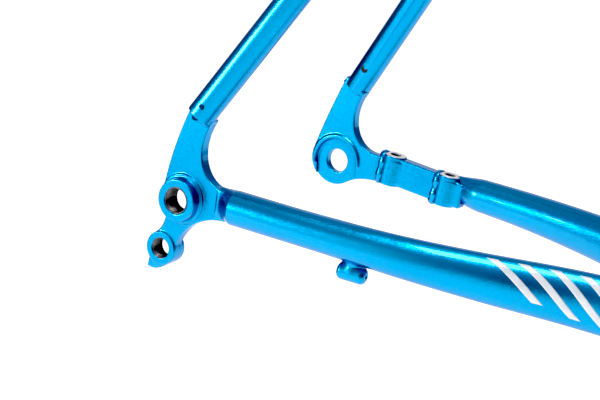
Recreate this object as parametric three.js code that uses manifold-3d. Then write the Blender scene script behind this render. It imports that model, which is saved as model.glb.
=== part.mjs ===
// A steel road and gravel bicycle frame with disc brakes, TIG-welded from tubes, in millimetres.
// The origin is the centre of the bottom bracket. +X points forward, +Y to the rider's left, +Z up.
import * as THREE from 'three';
import { mergeVertices } from 'three/addons/utils/BufferGeometryUtils.js';
import Module from 'manifold-3d';

const wasm = await Module();
wasm.setup();

// ---------------------------------------------------------------- driving dimensions

const GAP = 0.3;                      // left between neighbours, where the weld metal goes

const CHAINSTAY_LENGTH = 420;         // bottom bracket to rear axle
const BOTTOM_BRACKET_DROP = 70;       // rear axle above the bottom bracket
const HUB_SPACING = 142;              // between the faces that the hub's end caps meet
const SEAT_ANGLE = 73.5;
const HEAD_ANGLE = 72;
const STACK = 560;
const REACH = 385;

const SEAT_TUBE_LENGTH = 520;
const SEATPOST_BORE = 27.2;
const SEATPOST_WALL = 2.3;            // thick top end of the seat tube
const SEAT_TUBE_WALL = 1.0;
const BORE_STEP = 4;                  // where the wall changes from one to the other
const SEATPOST_BORE_DEPTH = 130;
const SEAT_SLOT_WIDTH = 2.4;
const SEAT_SLOT_DEPTH = 32;

const HEAD_TUBE_LENGTH = 150;
const HEAD_TUBE_BORE = 44;
const HEAD_TUBE_WALL = 1.8;
const HEAD_RING_WALL = 3.2;           // thicker ends that take the headset cups
const HEAD_RING_LENGTH = 11;
const HEAD_WELD_LAND = 4;             // plain head tube between a ring and the tube welded below it

const TOP_TUBE_OD = 28.6;
const TOP_TUBE_WALL = 0.9;
const TOP_TUBE_SEAT_HEIGHT = 480;     // up the seat tube's axis
const DOWN_TUBE_OD = 38.1;
const DOWN_TUBE_WALL = 0.9;

const SHELL_WIDTH = 68;
const SHELL_BORE = 34;
const SHELL_WALL = 3;

const CHAINSTAY_REAR_OD = 17;
const CHAINSTAY_FRONT_HEIGHT = 29;    // the oval end beside the tyre
const CHAINSTAY_FRONT_WIDTH = 18;
const CHAINSTAY_OVAL_FROM = 60;       // ahead of the axle, where the oval begins
const CHAINSTAY_OVAL_TO = 260;
const CHAINSTAY_WALL = 1.0;
const CHAINSTAY_FRONT_SPREAD = 24.5;  // out from the centre plane, at the shell
const CHAINSTAY_FRONT_HEIGHT_ABOVE = 4.4;
const CHAINSTAY_BOW = 2.6;            // the line lies this far above a straight one
// Share of the stay's run, and share of its spread that is left: the S-bend round the tyre.
const CHAINSTAY_BEND = [
  [0, 1], [0.12, 0.955], [0.23, 0.875], [0.32, 0.72], [0.43, 0.45], [0.55, 0.27], [0.74, 0.13], [1, 0],
];
const STAY_STEPS = 15;                // facets along a chainstay
const STAY_OFFSET_OUT = 4;            // rear ends of the chainstays, out from the hub's faces
const CHAINSTAY_FOOT = [27, -0.3];    // from the axle: ahead, up
const CHAINSTAY_FRONT_END = 0.985;    // share of the line where the stay stops, inside the shell
const CHAINSTAY_LEAD = 0.015;         // share of the line that the stay is made too long, before it is cut

const SEATSTAY_OD = 14;
const SEATSTAY_WALL = 0.9;
const SEATSTAY_FOOT = [11.2, 43.2];   // from the axle: ahead, up
const SEATSTAY_FOOT_OUT = 3.5;        // out from the hub's faces
const SEATSTAY_TOP_HEIGHT = 480;      // up the seat tube's axis
const SEATSTAY_BITE = 5.7;            // how far the seat tube cuts into each stay
const SEATSTAY_CAP_RISE = 3;
const SEATSTAY_CAP_LAND = 0.6;        // straight rim below the dome
const VENT_HOLE = 4;
const VENT_ABOVE_FOOT = 12;
const OUTER_VENT_ABOVE_FOOT = 6;

const PLATE_THICKNESS = 6;            // dropout plates
const HUB_RECESS_DEPTH = 1.5;
const HUB_RECESS_RADIUS = 12.2;
const AXLE_HOLE_LEFT = 13;
const AXLE_THREAD = 12;
const AXLE_BOSS_WALL = 4.2;           // round the thread, at the outer face
const AXLE_BOSS_TAPER = 2.2;          // how much wider the boss is at the plate
const AXLE_BOSS_LENGTH = 5.7;
const HANGER_OFFSET = [-12.5, -25.8]; // derailleur bolt, from the axle: ahead, up
const HANGER_THREAD = 10;
const HANGER_WALL = 3.3;
const HANGER_PROUD_OUT = 0.8;
const HANGER_PROUD_IN = 2.4;
const RIGHT_RECESS_SHRINK = 1.6;      // keeps the right recess clear of the derailleur's eye
const LEFT_EYE_CENTRE = [-1.2, 1];
const LEFT_EYE_RADIUS = 14.4;
// Edges of the dropouts, as [ahead, up] from the axle: handle points of each curve, then its end.
const FRONT_EDGE_FOOT = [24, 6.3];
const FRONT_EDGE_HANDLES = [[12, 8.2], [5.5, 23]];
const RIGHT_REAR_HANDLE = [-6.4, 25.7];
const RIGHT_NECK_HANDLE = [-10.6, -14.5];
const RIGHT_LOWER_EDGE = [[3, -8], [24, -8]];
const LEFT_REAR_HANDLE = [-8, 22.8];
const LEFT_LOWER_EDGE = [[12, -8.6], [18, -6.4], [36, -10.6]];
const LEFT_ARM_END = [37, 5.6];
const LEFT_ARM_HANDLE = [30, 4.8];
// The point below the eye that the derailleur's stop screw meets, and the handle of the curve after it.
const STOP_POINT = [-8.4, -9.8];
const STOP_POINT_HANDLE = [-3, -12.6];

const FLAT_MOUNT_SPACING = 34;
const FLAT_MOUNT_SLOPE = 12.5;        // the brake's face falls forward, in degrees
const FLAT_MOUNT_REAR = [37.4, 7.4];  // top of the rear boss, from the axle: ahead, up
const FLAT_MOUNT_INSET = 1;           // boss axes, in from the hub's face
const FLAT_BOSS_OD = 12.8;
const FLAT_BOSS_HEIGHT = 16.6;
const FLAT_BOSS_HOLE = 6;
const FLAT_BRIDGE_THICKNESS = 10;
const FLAT_BRIDGE_BELOW_TOP = 0.8;
const FLAT_BRIDGE_HEIGHT = 15.2;

const CHAINSTAY_BRIDGE_OD = 16;
const CHAINSTAY_BRIDGE_BEHIND = 64;   // behind the bottom bracket
const SEATSTAY_BRIDGE_OD = 12.7;
const SEATSTAY_BRIDGE_FROM_FOOT = 318;
const BRIDGE_WALL = 1.0;

const STOP_OD = 8.2;                  // cable stops
const STOP_LENGTH = 14.5;
const STOP_CABLE_HOLE = 2.4;
const CHAINSTAY_STOP_AHEAD = 95;      // ahead of the axle
const CHAINSTAY_STOP_DROP = 4.8;      // its axis below the stay's underside
const DOWN_TUBE_STOP_FROM_HEAD = 92;
const DOWN_TUBE_STOP_OUT = 5;         // its axis out from the down tube's side
const ADJUSTER_THREAD = 5;
const ADJUSTER_KNOB_OD = 8;
const ADJUSTER_KNOB_LENGTH = 9;
const ADJUSTER_STEM_LENGTH = 9;

const BOTTLE_SPACING = 64;
const BOTTLE_LOW_ON_SEAT_TUBE = 150;
const BOTTLE_LOW_ON_DOWN_TUBE = 210;
const BOTTLE_BOSS_FLANGE = 10;
const BOTTLE_BOSS_FLANGE_PROUD = 1.6;
const BOTTLE_BOSS_BARREL = 7;
const BOTTLE_BOSS_DEPTH = 9;
const BOTTLE_THREAD = 5;
const BOTTLE_BOLT_HEAD = 9;
const BOTTLE_BOLT_HEAD_HEIGHT = 3;
const BOTTLE_BOLT_LENGTH = 12;
const HEX_SOCKET = 3;                 // across the flats

const COLLAR_HEIGHT = 14;
const COLLAR_WALL = 2.6;
const COLLAR_BELOW_TOP = 1.5;
const COLLAR_EAR_REACH = 11;          // behind the ring
const COLLAR_EAR_WIDTH = 7;
const COLLAR_BOLT = 5;
const COLLAR_BOLT_HEAD = 8.5;
const COLLAR_BOLT_HEAD_LENGTH = 5;
const COLLAR_NUT_OD = 8;
const COLLAR_NUT_FLANGE = 1.6;

const GUIDE_THICKNESS = 2.6;          // cable guide under the shell
const GUIDE_WIDTH = 26;
const GUIDE_ARC = 100;                // degrees round the shell
const GUIDE_GROOVE = 2.4;
const GUIDE_GROOVE_SPREAD = 8;
const GUIDE_SCREW = 4;
const GUIDE_SCREW_HEAD = 8;
const GUIDE_SCREW_HEAD_HEIGHT = 2.4;

// ---------------------------------------------------------------- finishes

const finish = (color, roughness, metalness) => (
  new THREE.MeshStandardMaterial({ color, roughness, metalness }));
const candyBlue = finish(0x0a86cf, 0.25, 0.6);
const blackAnodised = finish(0x18191b, 0.4, 0.8);
const stainless = finish(0xb9bcc0, 0.3, 1);
const silverAlloy = finish(0xcfd1d4, 0.35, 0.9);
const blackNylon = finish(0x151515, 0.6, 0);

// ---------------------------------------------------------------- solids

const UP = new THREE.Vector3(0, 1, 0);
const vec = (x, y, z) => new THREE.Vector3(x, y, z);
const radians = THREE.MathUtils.degToRad;

/** A three.js geometry as a manifold solid, with shared corners merged and flat slivers dropped. */
function solid(geometry) {
  geometry.deleteAttribute('normal');
  geometry.deleteAttribute('uv');
  const merged = mergeVertices(geometry, 1e-4);
  const triangles = [];
  for (let i = 0; i < merged.index.count; i += 3) {
    const [a, b, c] = [0, 1, 2].map((k) => merged.index.getX(i + k));
    if (a !== b && b !== c && c !== a) triangles.push(a, b, c);
  }
  return new wasm.Manifold(new wasm.Mesh({
    numProp: 3, vertProperties: merged.attributes.position.array, triVerts: new Uint32Array(triangles),
  }));
}

/** Turns a geometry made along +Y to lie along a direction, and moves its origin to a point. */
function along(geometry, origin, direction) {
  geometry.applyQuaternion(new THREE.Quaternion().setFromUnitVectors(UP, direction.clone().normalize()));
  return geometry.translate(origin.x, origin.y, origin.z);
}

/** A round bar between two points. */
function bar(from, to, radius, segments = 24) {
  const length = from.distanceTo(to);
  const shape = new THREE.CylinderGeometry(radius, radius, length, segments).translate(0, length / 2, 0);
  return solid(along(shape, from, to.clone().sub(from)));
}

/** A round tube between two points, open at both ends. */
function tube(from, to, od, wall, segments = 24) {
  const step = to.clone().sub(from).setLength(1);
  const bore = bar(from.clone().sub(step), to.clone().add(step), od / 2 - wall, segments);
  return bar(from, to, od / 2, segments).subtract(bore);
}

/** A turned piece: [radius, height] points spun about an axis through a point. */
function turned(profile, origin, direction, segments = 24) {
  const points = profile.map(([radius, height]) => new THREE.Vector2(radius, height));
  return solid(along(new THREE.LatheGeometry(points, segments), origin, direction));
}

/** A hexagonal bar along a direction, for sockets. */
function hexagon(origin, direction, flats, length) {
  const radius = flats / Math.sqrt(3);
  const shape = new THREE.CylinderGeometry(radius, radius, length, 6);
  return solid(along(shape, origin, direction));
}

/** A box with its centre at a point, turned by a slope about Y in degrees, falling forward. */
function block(size, centre, slope = 0) {
  const shape = new THREE.BoxGeometry(...size).rotateY(radians(slope));
  return solid(shape.translate(centre.x, centre.y, centre.z));
}

/** A flat plate: a shape drawn in X and Z, between two values of Y. */
function plate(shape, y0, y1, curveSegments = 7) {
  const depth = Math.abs(y1 - y0);
  const geometry = new THREE.ExtrudeGeometry(shape, { depth, bevelEnabled: false, curveSegments });
  return solid(geometry.rotateX(Math.PI / 2).translate(0, Math.max(y0, y1), 0));
}

/** A point on a curve, or straight ahead of its start where the share is below zero. */
function pointAt(curve, share) {
  const clamped = Math.max(share, 0);
  const beyond = (share - clamped) * curve.getLength();
  return curve.getPoint(clamped).addScaledVector(curve.getTangent(clamped), beyond);
}

/** A bar along a curve with an upright oval section, whose half width and half height change. */
function ovalBar(curve, halves, from, to, steps, segments = 18) {
  const shape = new THREE.CylinderGeometry(1, 1, 1, segments, steps);
  const place = shape.attributes.position;
  for (let i = 0; i < place.count; i += 1) {
    const share = from + (to - from) * (place.getY(i) + 0.5);
    const centre = pointAt(curve, share);
    const tangent = curve.getTangent(Math.max(share, 0));
    const upright = vec(0, 0, 1).addScaledVector(tangent, -tangent.z).normalize();
    const side = tangent.clone().cross(upright);
    const [halfWidth, halfHeight] = halves(centre);
    centre.addScaledVector(side, place.getX(i) * halfWidth);
    centre.addScaledVector(upright, place.getZ(i) * halfHeight);
    place.setXYZ(i, centre.x, centre.y, centre.z);
  }
  return solid(shape);
}

const frame = new THREE.Group();

/** Adds a named sub-part. */
function add(name, body, material) {
  const { vertProperties, triVerts } = body.getMesh();
  const geometry = new THREE.BufferGeometry();
  geometry.setAttribute('position', new THREE.BufferAttribute(vertProperties, 3));
  geometry.setIndex(new THREE.BufferAttribute(triVerts, 1));
  geometry.computeVertexNormals();
  const mesh = new THREE.Mesh(geometry, material);
  mesh.name = name;
  frame.add(mesh);
}

// ---------------------------------------------------------------- frame lines

const SEAT_TUBE_OD = SEATPOST_BORE + 2 * SEATPOST_WALL;
const HEAD_TUBE_OD = HEAD_TUBE_BORE + 2 * HEAD_TUBE_WALL;
const HEAD_RING_OD = HEAD_TUBE_BORE + 2 * HEAD_RING_WALL;
const SHELL_OD = SHELL_BORE + 2 * SHELL_WALL;
const AXLE_BOSS_FACE_RADIUS = AXLE_THREAD / 2 + AXLE_BOSS_WALL;
const AXLE_BOSS_BASE_RADIUS = AXLE_BOSS_FACE_RADIUS + AXLE_BOSS_TAPER;
const HANGER_RADIUS = HANGER_THREAD / 2 + HANGER_WALL;

const origin = vec(0, 0, 0);
const axle = vec(-Math.sqrt(CHAINSTAY_LENGTH ** 2 - BOTTOM_BRACKET_DROP ** 2), 0, BOTTOM_BRACKET_DROP);
const seatAxis = vec(-Math.cos(radians(SEAT_ANGLE)), 0, Math.sin(radians(SEAT_ANGLE)));
const headTop = vec(REACH, 0, STACK);
const headAxisDown = vec(Math.cos(radians(HEAD_ANGLE)), 0, -Math.sin(radians(HEAD_ANGLE)));
const headBottom = headTop.clone().addScaledVector(headAxisDown, HEAD_TUBE_LENGTH);
const seatTop = seatAxis.clone().multiplyScalar(SEAT_TUBE_LENGTH);
const topTubeRear = seatAxis.clone().multiplyScalar(TOP_TUBE_SEAT_HEIGHT);

/** Where a tube's centreline meets the head tube's axis, so that it clears the ring at the near end. */
function meetsHeadTube(end, inward, from, od) {
  const angle = from.clone().sub(end).angleTo(inward);
  const ring = HEAD_RING_LENGTH + (HEAD_RING_OD - HEAD_TUBE_OD) / 2;
  const reach = ring + HEAD_WELD_LAND + od / 2 / Math.sin(angle) - HEAD_TUBE_OD / 2 / Math.tan(angle);
  return end.clone().addScaledVector(inward, reach);
}

const topTubeFront = meetsHeadTube(headTop, headAxisDown, topTubeRear, TOP_TUBE_OD);
const downTubeFront = meetsHeadTube(headBottom, headAxisDown.clone().negate(), origin, DOWN_TUBE_OD);
const downAxis = downTubeFront.clone().normalize();
const hubFace = HUB_SPACING / 2;

/** A cylinder the size of a tube plus the weld gap, for cutting what meets it. */
const clearOf = (from, to, od) => bar(from, to, od / 2 + GAP, 36);

const shellCutter = clearOf(vec(0, -SHELL_WIDTH, 0), vec(0, SHELL_WIDTH, 0), SHELL_OD);
const seatCutter = clearOf(origin, seatTop, SEAT_TUBE_OD);
const headCutter = clearOf(headTop, headBottom, HEAD_TUBE_OD);

// ---------------------------------------------------------------- bottle bosses and their bolts

/** A threaded boss let into a tube, with its bolt. */
function bottleMount(name, onAxis, outward, tubeOd) {
  const face = onAxis.clone().addScaledVector(outward, tubeOd / 2 + GAP);
  const hole = BOTTLE_THREAD / 2 + GAP;
  const boss = turned([
    [hole, -BOTTLE_BOSS_DEPTH], [BOTTLE_BOSS_BARREL / 2, -BOTTLE_BOSS_DEPTH], [BOTTLE_BOSS_BARREL / 2, 0],
    [BOTTLE_BOSS_FLANGE / 2, 0], [BOTTLE_BOSS_FLANGE / 2, BOTTLE_BOSS_FLANGE_PROUD],
    [hole, BOTTLE_BOSS_FLANGE_PROUD], [hole, -BOTTLE_BOSS_DEPTH],
  ], face, outward, 16);
  add(`bottle_boss_${name}`, boss, candyBlue);

  const seat = BOTTLE_BOSS_FLANGE_PROUD + GAP;
  const crown = seat + BOTTLE_BOLT_HEAD_HEIGHT;
  const bolt = turned([
    [0, seat - BOTTLE_BOLT_LENGTH], [BOTTLE_THREAD / 2, seat - BOTTLE_BOLT_LENGTH], [BOTTLE_THREAD / 2, seat],
    [BOTTLE_BOLT_HEAD / 2, seat], [BOTTLE_BOLT_HEAD / 2, seat + 1], [BOTTLE_BOLT_HEAD / 3, crown], [0, crown],
  ], face, outward, 16);
  const top = face.clone().addScaledVector(outward, crown);
  const socket = hexagon(top, outward, HEX_SOCKET, BOTTLE_BOLT_HEAD_HEIGHT);
  add(`bottle_bolt_${name}`, bolt.subtract(socket), stainless);
}

/** The hole in a tube's wall that a bottle boss sits in. */
const bossHole = (onAxis, outward, tubeOd) => bar(
  onAxis, onAxis.clone().addScaledVector(outward, tubeOd), BOTTLE_BOSS_BARREL / 2 + GAP, 16,
);

const seatForward = vec(Math.sin(radians(SEAT_ANGLE)), 0, Math.cos(radians(SEAT_ANGLE)));
const downUpward = vec(-downAxis.z, 0, downAxis.x);
const bottlePair = (axis, low) => [low, low + BOTTLE_SPACING].map((run) => axis.clone().multiplyScalar(run));
const seatBottles = bottlePair(seatAxis, BOTTLE_LOW_ON_SEAT_TUBE);
const downBottles = bottlePair(downAxis, BOTTLE_LOW_ON_DOWN_TUBE);
['lower', 'upper'].forEach((place, i) => {
  bottleMount(`seat_tube_${place}`, seatBottles[i], seatForward, SEAT_TUBE_OD);
  bottleMount(`down_tube_${place}`, downBottles[i], downUpward, DOWN_TUBE_OD);
});

// ---------------------------------------------------------------- main tubes

function seatTube() {
  const [outer, lower, upper] = [SEAT_TUBE_OD / 2, SEAT_TUBE_OD / 2 - SEAT_TUBE_WALL, SEATPOST_BORE / 2];
  const step = SEAT_TUBE_LENGTH - SEATPOST_BORE_DEPTH;
  const blank = turned([
    [lower, 0], [outer, 0], [outer, SEAT_TUBE_LENGTH], [upper, SEAT_TUBE_LENGTH],
    [upper, step], [lower, step - BORE_STEP], [lower, 0],
  ], origin, seatAxis, 36);
  const slotEnd = seatAxis.clone().multiplyScalar(SEAT_TUBE_LENGTH - SEAT_SLOT_DEPTH);
  const rearward = seatForward.clone().negate();
  const slot = block([SEAT_TUBE_OD, SEAT_SLOT_WIDTH, 2 * SEAT_SLOT_DEPTH], origin, SEAT_ANGLE - 90)
    .translate(seatTop.clone().addScaledVector(rearward, SEAT_TUBE_OD / 2).toArray());
  let body = blank.subtract(shellCutter).subtract(slot)
    .subtract(bar(slotEnd, slotEnd.clone().addScaledVector(rearward, SEAT_TUBE_OD), SEAT_SLOT_WIDTH, 16));
  for (const place of seatBottles) body = body.subtract(bossHole(place, seatForward, SEAT_TUBE_OD));
  return body;
}

function headTube() {
  const [bore, outer, ring] = [HEAD_TUBE_BORE / 2, HEAD_TUBE_OD / 2, HEAD_RING_OD / 2];
  const [length, land, taper] = [HEAD_TUBE_LENGTH, HEAD_RING_LENGTH, ring - outer];
  return turned([
    [bore, 0], [ring, 0], [ring, land], [outer, land + taper], [outer, length - land - taper],
    [ring, length - land], [ring, length], [bore, length], [bore, 0],
  ], headTop, headAxisDown, 36);
}

function downTube() {
  let body = tube(origin, downTubeFront, DOWN_TUBE_OD, DOWN_TUBE_WALL, 30)
    .subtract(shellCutter).subtract(seatCutter).subtract(headCutter);
  for (const place of downBottles) body = body.subtract(bossHole(place, downUpward, DOWN_TUBE_OD));
  return body;
}

add('head_tube', headTube(), candyBlue);
add('seat_tube', seatTube(), candyBlue);
add('top_tube', tube(topTubeRear, topTubeFront, TOP_TUBE_OD, TOP_TUBE_WALL, 28)
  .subtract(seatCutter).subtract(headCutter), candyBlue);
add('down_tube', downTube(), candyBlue);

const guideHole = bar(origin, vec(0, 0, -SHELL_OD), GUIDE_SCREW / 2 + GAP, 16);
add('bottom_bracket_shell', turned([
  [SHELL_BORE / 2, 0], [SHELL_OD / 2, 0], [SHELL_OD / 2, SHELL_WIDTH], [SHELL_BORE / 2, SHELL_WIDTH],
  [SHELL_BORE / 2, 0],
], vec(0, -SHELL_WIDTH / 2, 0), UP, 36).subtract(guideHole), candyBlue);

// ---------------------------------------------------------------- cable guide under the shell

function cableGuide() {
  const [inner, outer] = [SHELL_OD / 2 + GAP, SHELL_OD / 2 + GAP + GUIDE_THICKNESS];
  const shape = new THREE.Shape();
  const [start, end] = [radians(270 - GUIDE_ARC / 2), radians(270 + GUIDE_ARC / 2)];
  shape.absarc(0, 0, outer, start, end, false);
  shape.absarc(0, 0, inner, end, start, true);
  shape.closePath();
  let body = plate(shape, -GUIDE_WIDTH / 2, GUIDE_WIDTH / 2, 10).subtract(guideHole);
  for (const side of [-1, 1]) {
    const ring = new THREE.TorusGeometry(outer, GUIDE_GROOVE / 2, 8, 36).rotateX(Math.PI / 2);
    body = body.subtract(solid(ring.translate(0, side * GUIDE_GROOVE_SPREAD, 0)));
  }
  return body;
}

const guideFace = -(SHELL_OD / 2 + GAP + GUIDE_THICKNESS);
const screwSeat = guideFace - GAP;
const screwCrown = screwSeat - GUIDE_SCREW_HEAD_HEIGHT;
const screwTip = -SHELL_BORE / 2 - GAP;
const upright = vec(0, 0, 1);
add('cable_guide', cableGuide(), blackNylon);
add('cable_guide_screw', turned([
  [0, screwCrown], [GUIDE_SCREW_HEAD / 3, screwCrown], [GUIDE_SCREW_HEAD / 2, screwSeat],
  [GUIDE_SCREW / 2, screwSeat], [GUIDE_SCREW / 2, screwTip], [0, screwTip],
], origin, upright, 16).subtract(hexagon(vec(0, 0, screwCrown), upright, HEX_SOCKET, HEX_SOCKET)), stainless);

// ---------------------------------------------------------------- stays

/** The chainstay's centreline on one side: -1 right, 1 left. */
function chainstayLine(side) {
  const foot = vec(axle.x + CHAINSTAY_FOOT[0], hubFace + STAY_OFFSET_OUT, axle.z + CHAINSTAY_FOOT[1]);
  const front = vec(0, CHAINSTAY_FRONT_SPREAD, CHAINSTAY_FRONT_HEIGHT_ABOVE);
  return new THREE.CatmullRomCurve3(CHAINSTAY_BEND.map(([run, spread]) => vec(
    foot.x + (front.x - foot.x) * run,
    side * (front.y + (foot.y - front.y) * spread),
    foot.z + (front.z - foot.z) * run + CHAINSTAY_BOW * Math.sin(Math.PI * run),
  )), false, 'centripetal');
}

/** Half width and half height of a chainstay at a point on its line, made smaller or larger by inset. */
const chainstayHalves = (inset) => (point) => {
  const share = THREE.MathUtils.smoothstep(point.x - axle.x, CHAINSTAY_OVAL_FROM, CHAINSTAY_OVAL_TO);
  const width = THREE.MathUtils.lerp(CHAINSTAY_REAR_OD, CHAINSTAY_FRONT_WIDTH, share);
  const height = THREE.MathUtils.lerp(CHAINSTAY_REAR_OD, CHAINSTAY_FRONT_HEIGHT, share);
  return [width / 2 - inset, height / 2 - inset];
};

const bossDown = vec(-Math.sin(radians(FLAT_MOUNT_SLOPE)), 0, -Math.cos(radians(FLAT_MOUNT_SLOPE)));
const bossForward = vec(Math.cos(radians(FLAT_MOUNT_SLOPE)), 0, -Math.sin(radians(FLAT_MOUNT_SLOPE)));
const rearBossTop = vec(axle.x + FLAT_MOUNT_REAR[0], hubFace - FLAT_MOUNT_INSET, axle.z + FLAT_MOUNT_REAR[1]);
const frontBossTop = rearBossTop.clone().addScaledVector(bossForward, FLAT_MOUNT_SPACING);

/** A flat-mount boss's cylinder, grown by the weld gap, long enough to cut whatever meets it. */
function bossCutter(top) {
  const [above, below] = [-1, 3].map((heights) => (
    top.clone().addScaledVector(bossDown, heights * FLAT_BOSS_HEIGHT)));
  return bar(above, below, FLAT_BOSS_OD / 2 + GAP, 24);
}

/** Everything of the left stay behind the front boss belongs to the brake mount. */
function behindFrontBoss() {
  const size = 4 * FLAT_MOUNT_SPACING;
  const centre = frontBossTop.clone().addScaledVector(bossForward, -size / 2);
  return block([size, size, size], centre, FLAT_MOUNT_SLOPE);
}

/** Everything behind the dropouts' front edges, which the chainstays butt against. */
function behindDropouts() {
  const size = 4 * FLAT_MOUNT_SPACING;
  const face = axle.x + FRONT_EDGE_FOOT[0] + GAP;
  return block([size, 2 * HUB_SPACING, size], vec(face - size / 2, 0, axle.z));
}

function chainstay(side) {
  const line = chainstayLine(side);
  let body = ovalBar(line, chainstayHalves(0), -CHAINSTAY_LEAD, CHAINSTAY_FRONT_END, STAY_STEPS)
    .subtract(ovalBar(line, chainstayHalves(CHAINSTAY_WALL), -2 * CHAINSTAY_LEAD, 1, STAY_STEPS))
    .subtract(behindDropouts());
  if (side > 0) body = body.subtract(behindFrontBoss()).subtract(bossCutter(frontBossTop));
  return body.subtract(shellCutter);
}

/** A point on a chainstay's line that lies a distance ahead of the axle, with the line's direction there. */
function onChainstay(side, ahead) {
  const line = chainstayLine(side);
  let [low, high] = [0, 1];
  for (let i = 0; i < 30; i += 1) {
    const middle = (low + high) / 2;
    if (line.getPoint(middle).x - axle.x < ahead) low = middle;
    else high = middle;
  }
  return { point: line.getPoint(low), forward: line.getTangent(low) };
}

const chainstayCutter = (side) => ovalBar(chainstayLine(side), chainstayHalves(-GAP), 0, 1, STAY_STEPS);

/** The two ends of a seatstay's centreline. */
function seatstayEnds(side) {
  const topSpread = SEAT_TUBE_OD / 2 + SEATSTAY_OD / 2 - SEATSTAY_BITE;
  const [ahead, up] = SEATSTAY_FOOT;
  const foot = vec(axle.x + ahead, side * (hubFace + SEATSTAY_FOOT_OUT), axle.z + up);
  const top = seatAxis.clone().multiplyScalar(SEATSTAY_TOP_HEIGHT).setY(side * topSpread);
  return { foot, top, rise: top.clone().sub(foot).normalize() };
}

function seatstay(side) {
  const { foot, top, rise } = seatstayEnds(side);
  const vent = foot.clone().addScaledVector(rise, VENT_ABOVE_FOOT);
  const ventOut = vent.clone().add(vec(0, -side * SEATSTAY_OD, 0));
  const outerVent = foot.clone().addScaledVector(rise, OUTER_VENT_ABOVE_FOOT);
  // The foot is cut square to the stay as seen from the side, to meet the end of the dropout's tab.
  const lean = vec(rise.x, 0, rise.z).normalize();
  const size = 4 * SEATSTAY_OD;
  const below = block([size, size, size], foot.clone().addScaledVector(lean, GAP - size / 2),
    THREE.MathUtils.radToDeg(Math.atan2(lean.x, lean.z)));
  let body = tube(foot.clone().addScaledVector(rise, -SEATSTAY_OD), top, SEATSTAY_OD, SEATSTAY_WALL, 20)
    .subtract(below).subtract(seatCutter).subtract(bar(vent, ventOut, VENT_HOLE / 2, 12));
  if (side < 0) {
    body = body.subtract(bar(outerVent, outerVent.clone().add(vec(0, -SEATSTAY_OD, 0)), VENT_HOLE / 2, 12));
  }
  return body;
}

function seatstayCap(side) {
  const { top, rise } = seatstayEnds(side);
  const quarter = [0, 22.5, 45, 67.5].map(radians);
  const radius = SEATSTAY_OD / 2;
  const dome = quarter.map((turn) => [radius * Math.cos(turn), SEATSTAY_CAP_RISE * Math.sin(turn)]);
  return turned([
    [0, -SEATSTAY_CAP_LAND], [radius, -SEATSTAY_CAP_LAND], ...dome, [0, SEATSTAY_CAP_RISE],
  ], top.clone().addScaledVector(rise, SEATSTAY_CAP_LAND + 2 * GAP), rise, 20).subtract(seatCutter);
}

for (const [name, side] of [['right', -1], ['left', 1]]) {
  add(`chainstay_${name}`, chainstay(side), candyBlue);
  add(`seatstay_${name}`, seatstay(side), candyBlue);
  add(`seatstay_cap_${name}`, seatstayCap(side), candyBlue);
}

function seatstayBridge() {
  const [right, left] = [-1, 1].map(seatstayEnds);
  const [from, to] = [right, left].map(({ foot, rise }) => (
    foot.clone().addScaledVector(rise, SEATSTAY_BRIDGE_FROM_FOOT)));
  let body = tube(from, to, SEATSTAY_BRIDGE_OD, BRIDGE_WALL, 16);
  for (const { foot, top } of [right, left]) body = body.subtract(clearOf(foot, top, SEATSTAY_OD));
  return body;
}

function chainstayBridge() {
  const [right, left] = [-1, 1].map((side) => onChainstay(side, -axle.x - CHAINSTAY_BRIDGE_BEHIND).point);
  return tube(right, left, CHAINSTAY_BRIDGE_OD, BRIDGE_WALL, 16)
    .subtract(chainstayCutter(-1)).subtract(chainstayCutter(1));
}

add('seatstay_bridge', seatstayBridge(), candyBlue);
add('chainstay_bridge', chainstayBridge(), candyBlue);

// ---------------------------------------------------------------- dropouts

/** The corners of a dropout's upper tab, which is as wide as the seatstay: rear, front. */
function tabCorners() {
  const { foot, top } = seatstayEnds(1);
  const slope = Math.atan2(top.z - foot.z, top.x - foot.x);
  const [dx, dz] = [Math.sin(slope) * SEATSTAY_OD / 2, -Math.cos(slope) * SEATSTAY_OD / 2];
  const [x, z] = SEATSTAY_FOOT;
  return [[x - dx, z - dz], [x + dx, z + dz]];
}

/** The curved front edge, up from the chainstay to the seatstay's tab. */
function frontEdge(shape) {
  const [, front] = tabCorners();
  shape.lineTo(...FRONT_EDGE_FOOT);
  shape.bezierCurveTo(...FRONT_EDGE_HANDLES.flat(), ...front);
}

/** The right dropout's outline from the axle: a tapered plate, a neck, and the derailleur's eye. */
function rightOutline() {
  const [rear] = tabCorners();
  const [hx, hz] = HANGER_OFFSET;
  const onCircle = (x, z, radius, degrees) => [
    x + radius * Math.cos(radians(degrees)), z + radius * Math.sin(radians(degrees)),
  ];
  const eye = (degrees) => onCircle(hx, hz, HANGER_RADIUS, degrees);
  const shape = new THREE.Shape();
  shape.moveTo(...rear);
  shape.quadraticCurveTo(...RIGHT_REAR_HANDLE, ...onCircle(0, 0, AXLE_BOSS_BASE_RADIUS, 155.7));
  shape.absarc(0, 0, AXLE_BOSS_BASE_RADIUS, radians(155.7), radians(218), false);
  shape.quadraticCurveTo(...RIGHT_NECK_HANDLE, ...eye(115));
  shape.absarc(hx, hz, HANGER_RADIUS, radians(115), radians(212), false);
  shape.lineTo(hx + STOP_POINT[0], hz + STOP_POINT[1]);
  shape.quadraticCurveTo(hx + STOP_POINT_HANDLE[0], hz + STOP_POINT_HANDLE[1], ...eye(300));
  shape.absarc(hx, hz, HANGER_RADIUS, radians(300), radians(375), false);
  shape.quadraticCurveTo(...RIGHT_LOWER_EDGE.flat());
  frontEdge(shape);
  shape.closePath();
  return shape;
}

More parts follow.
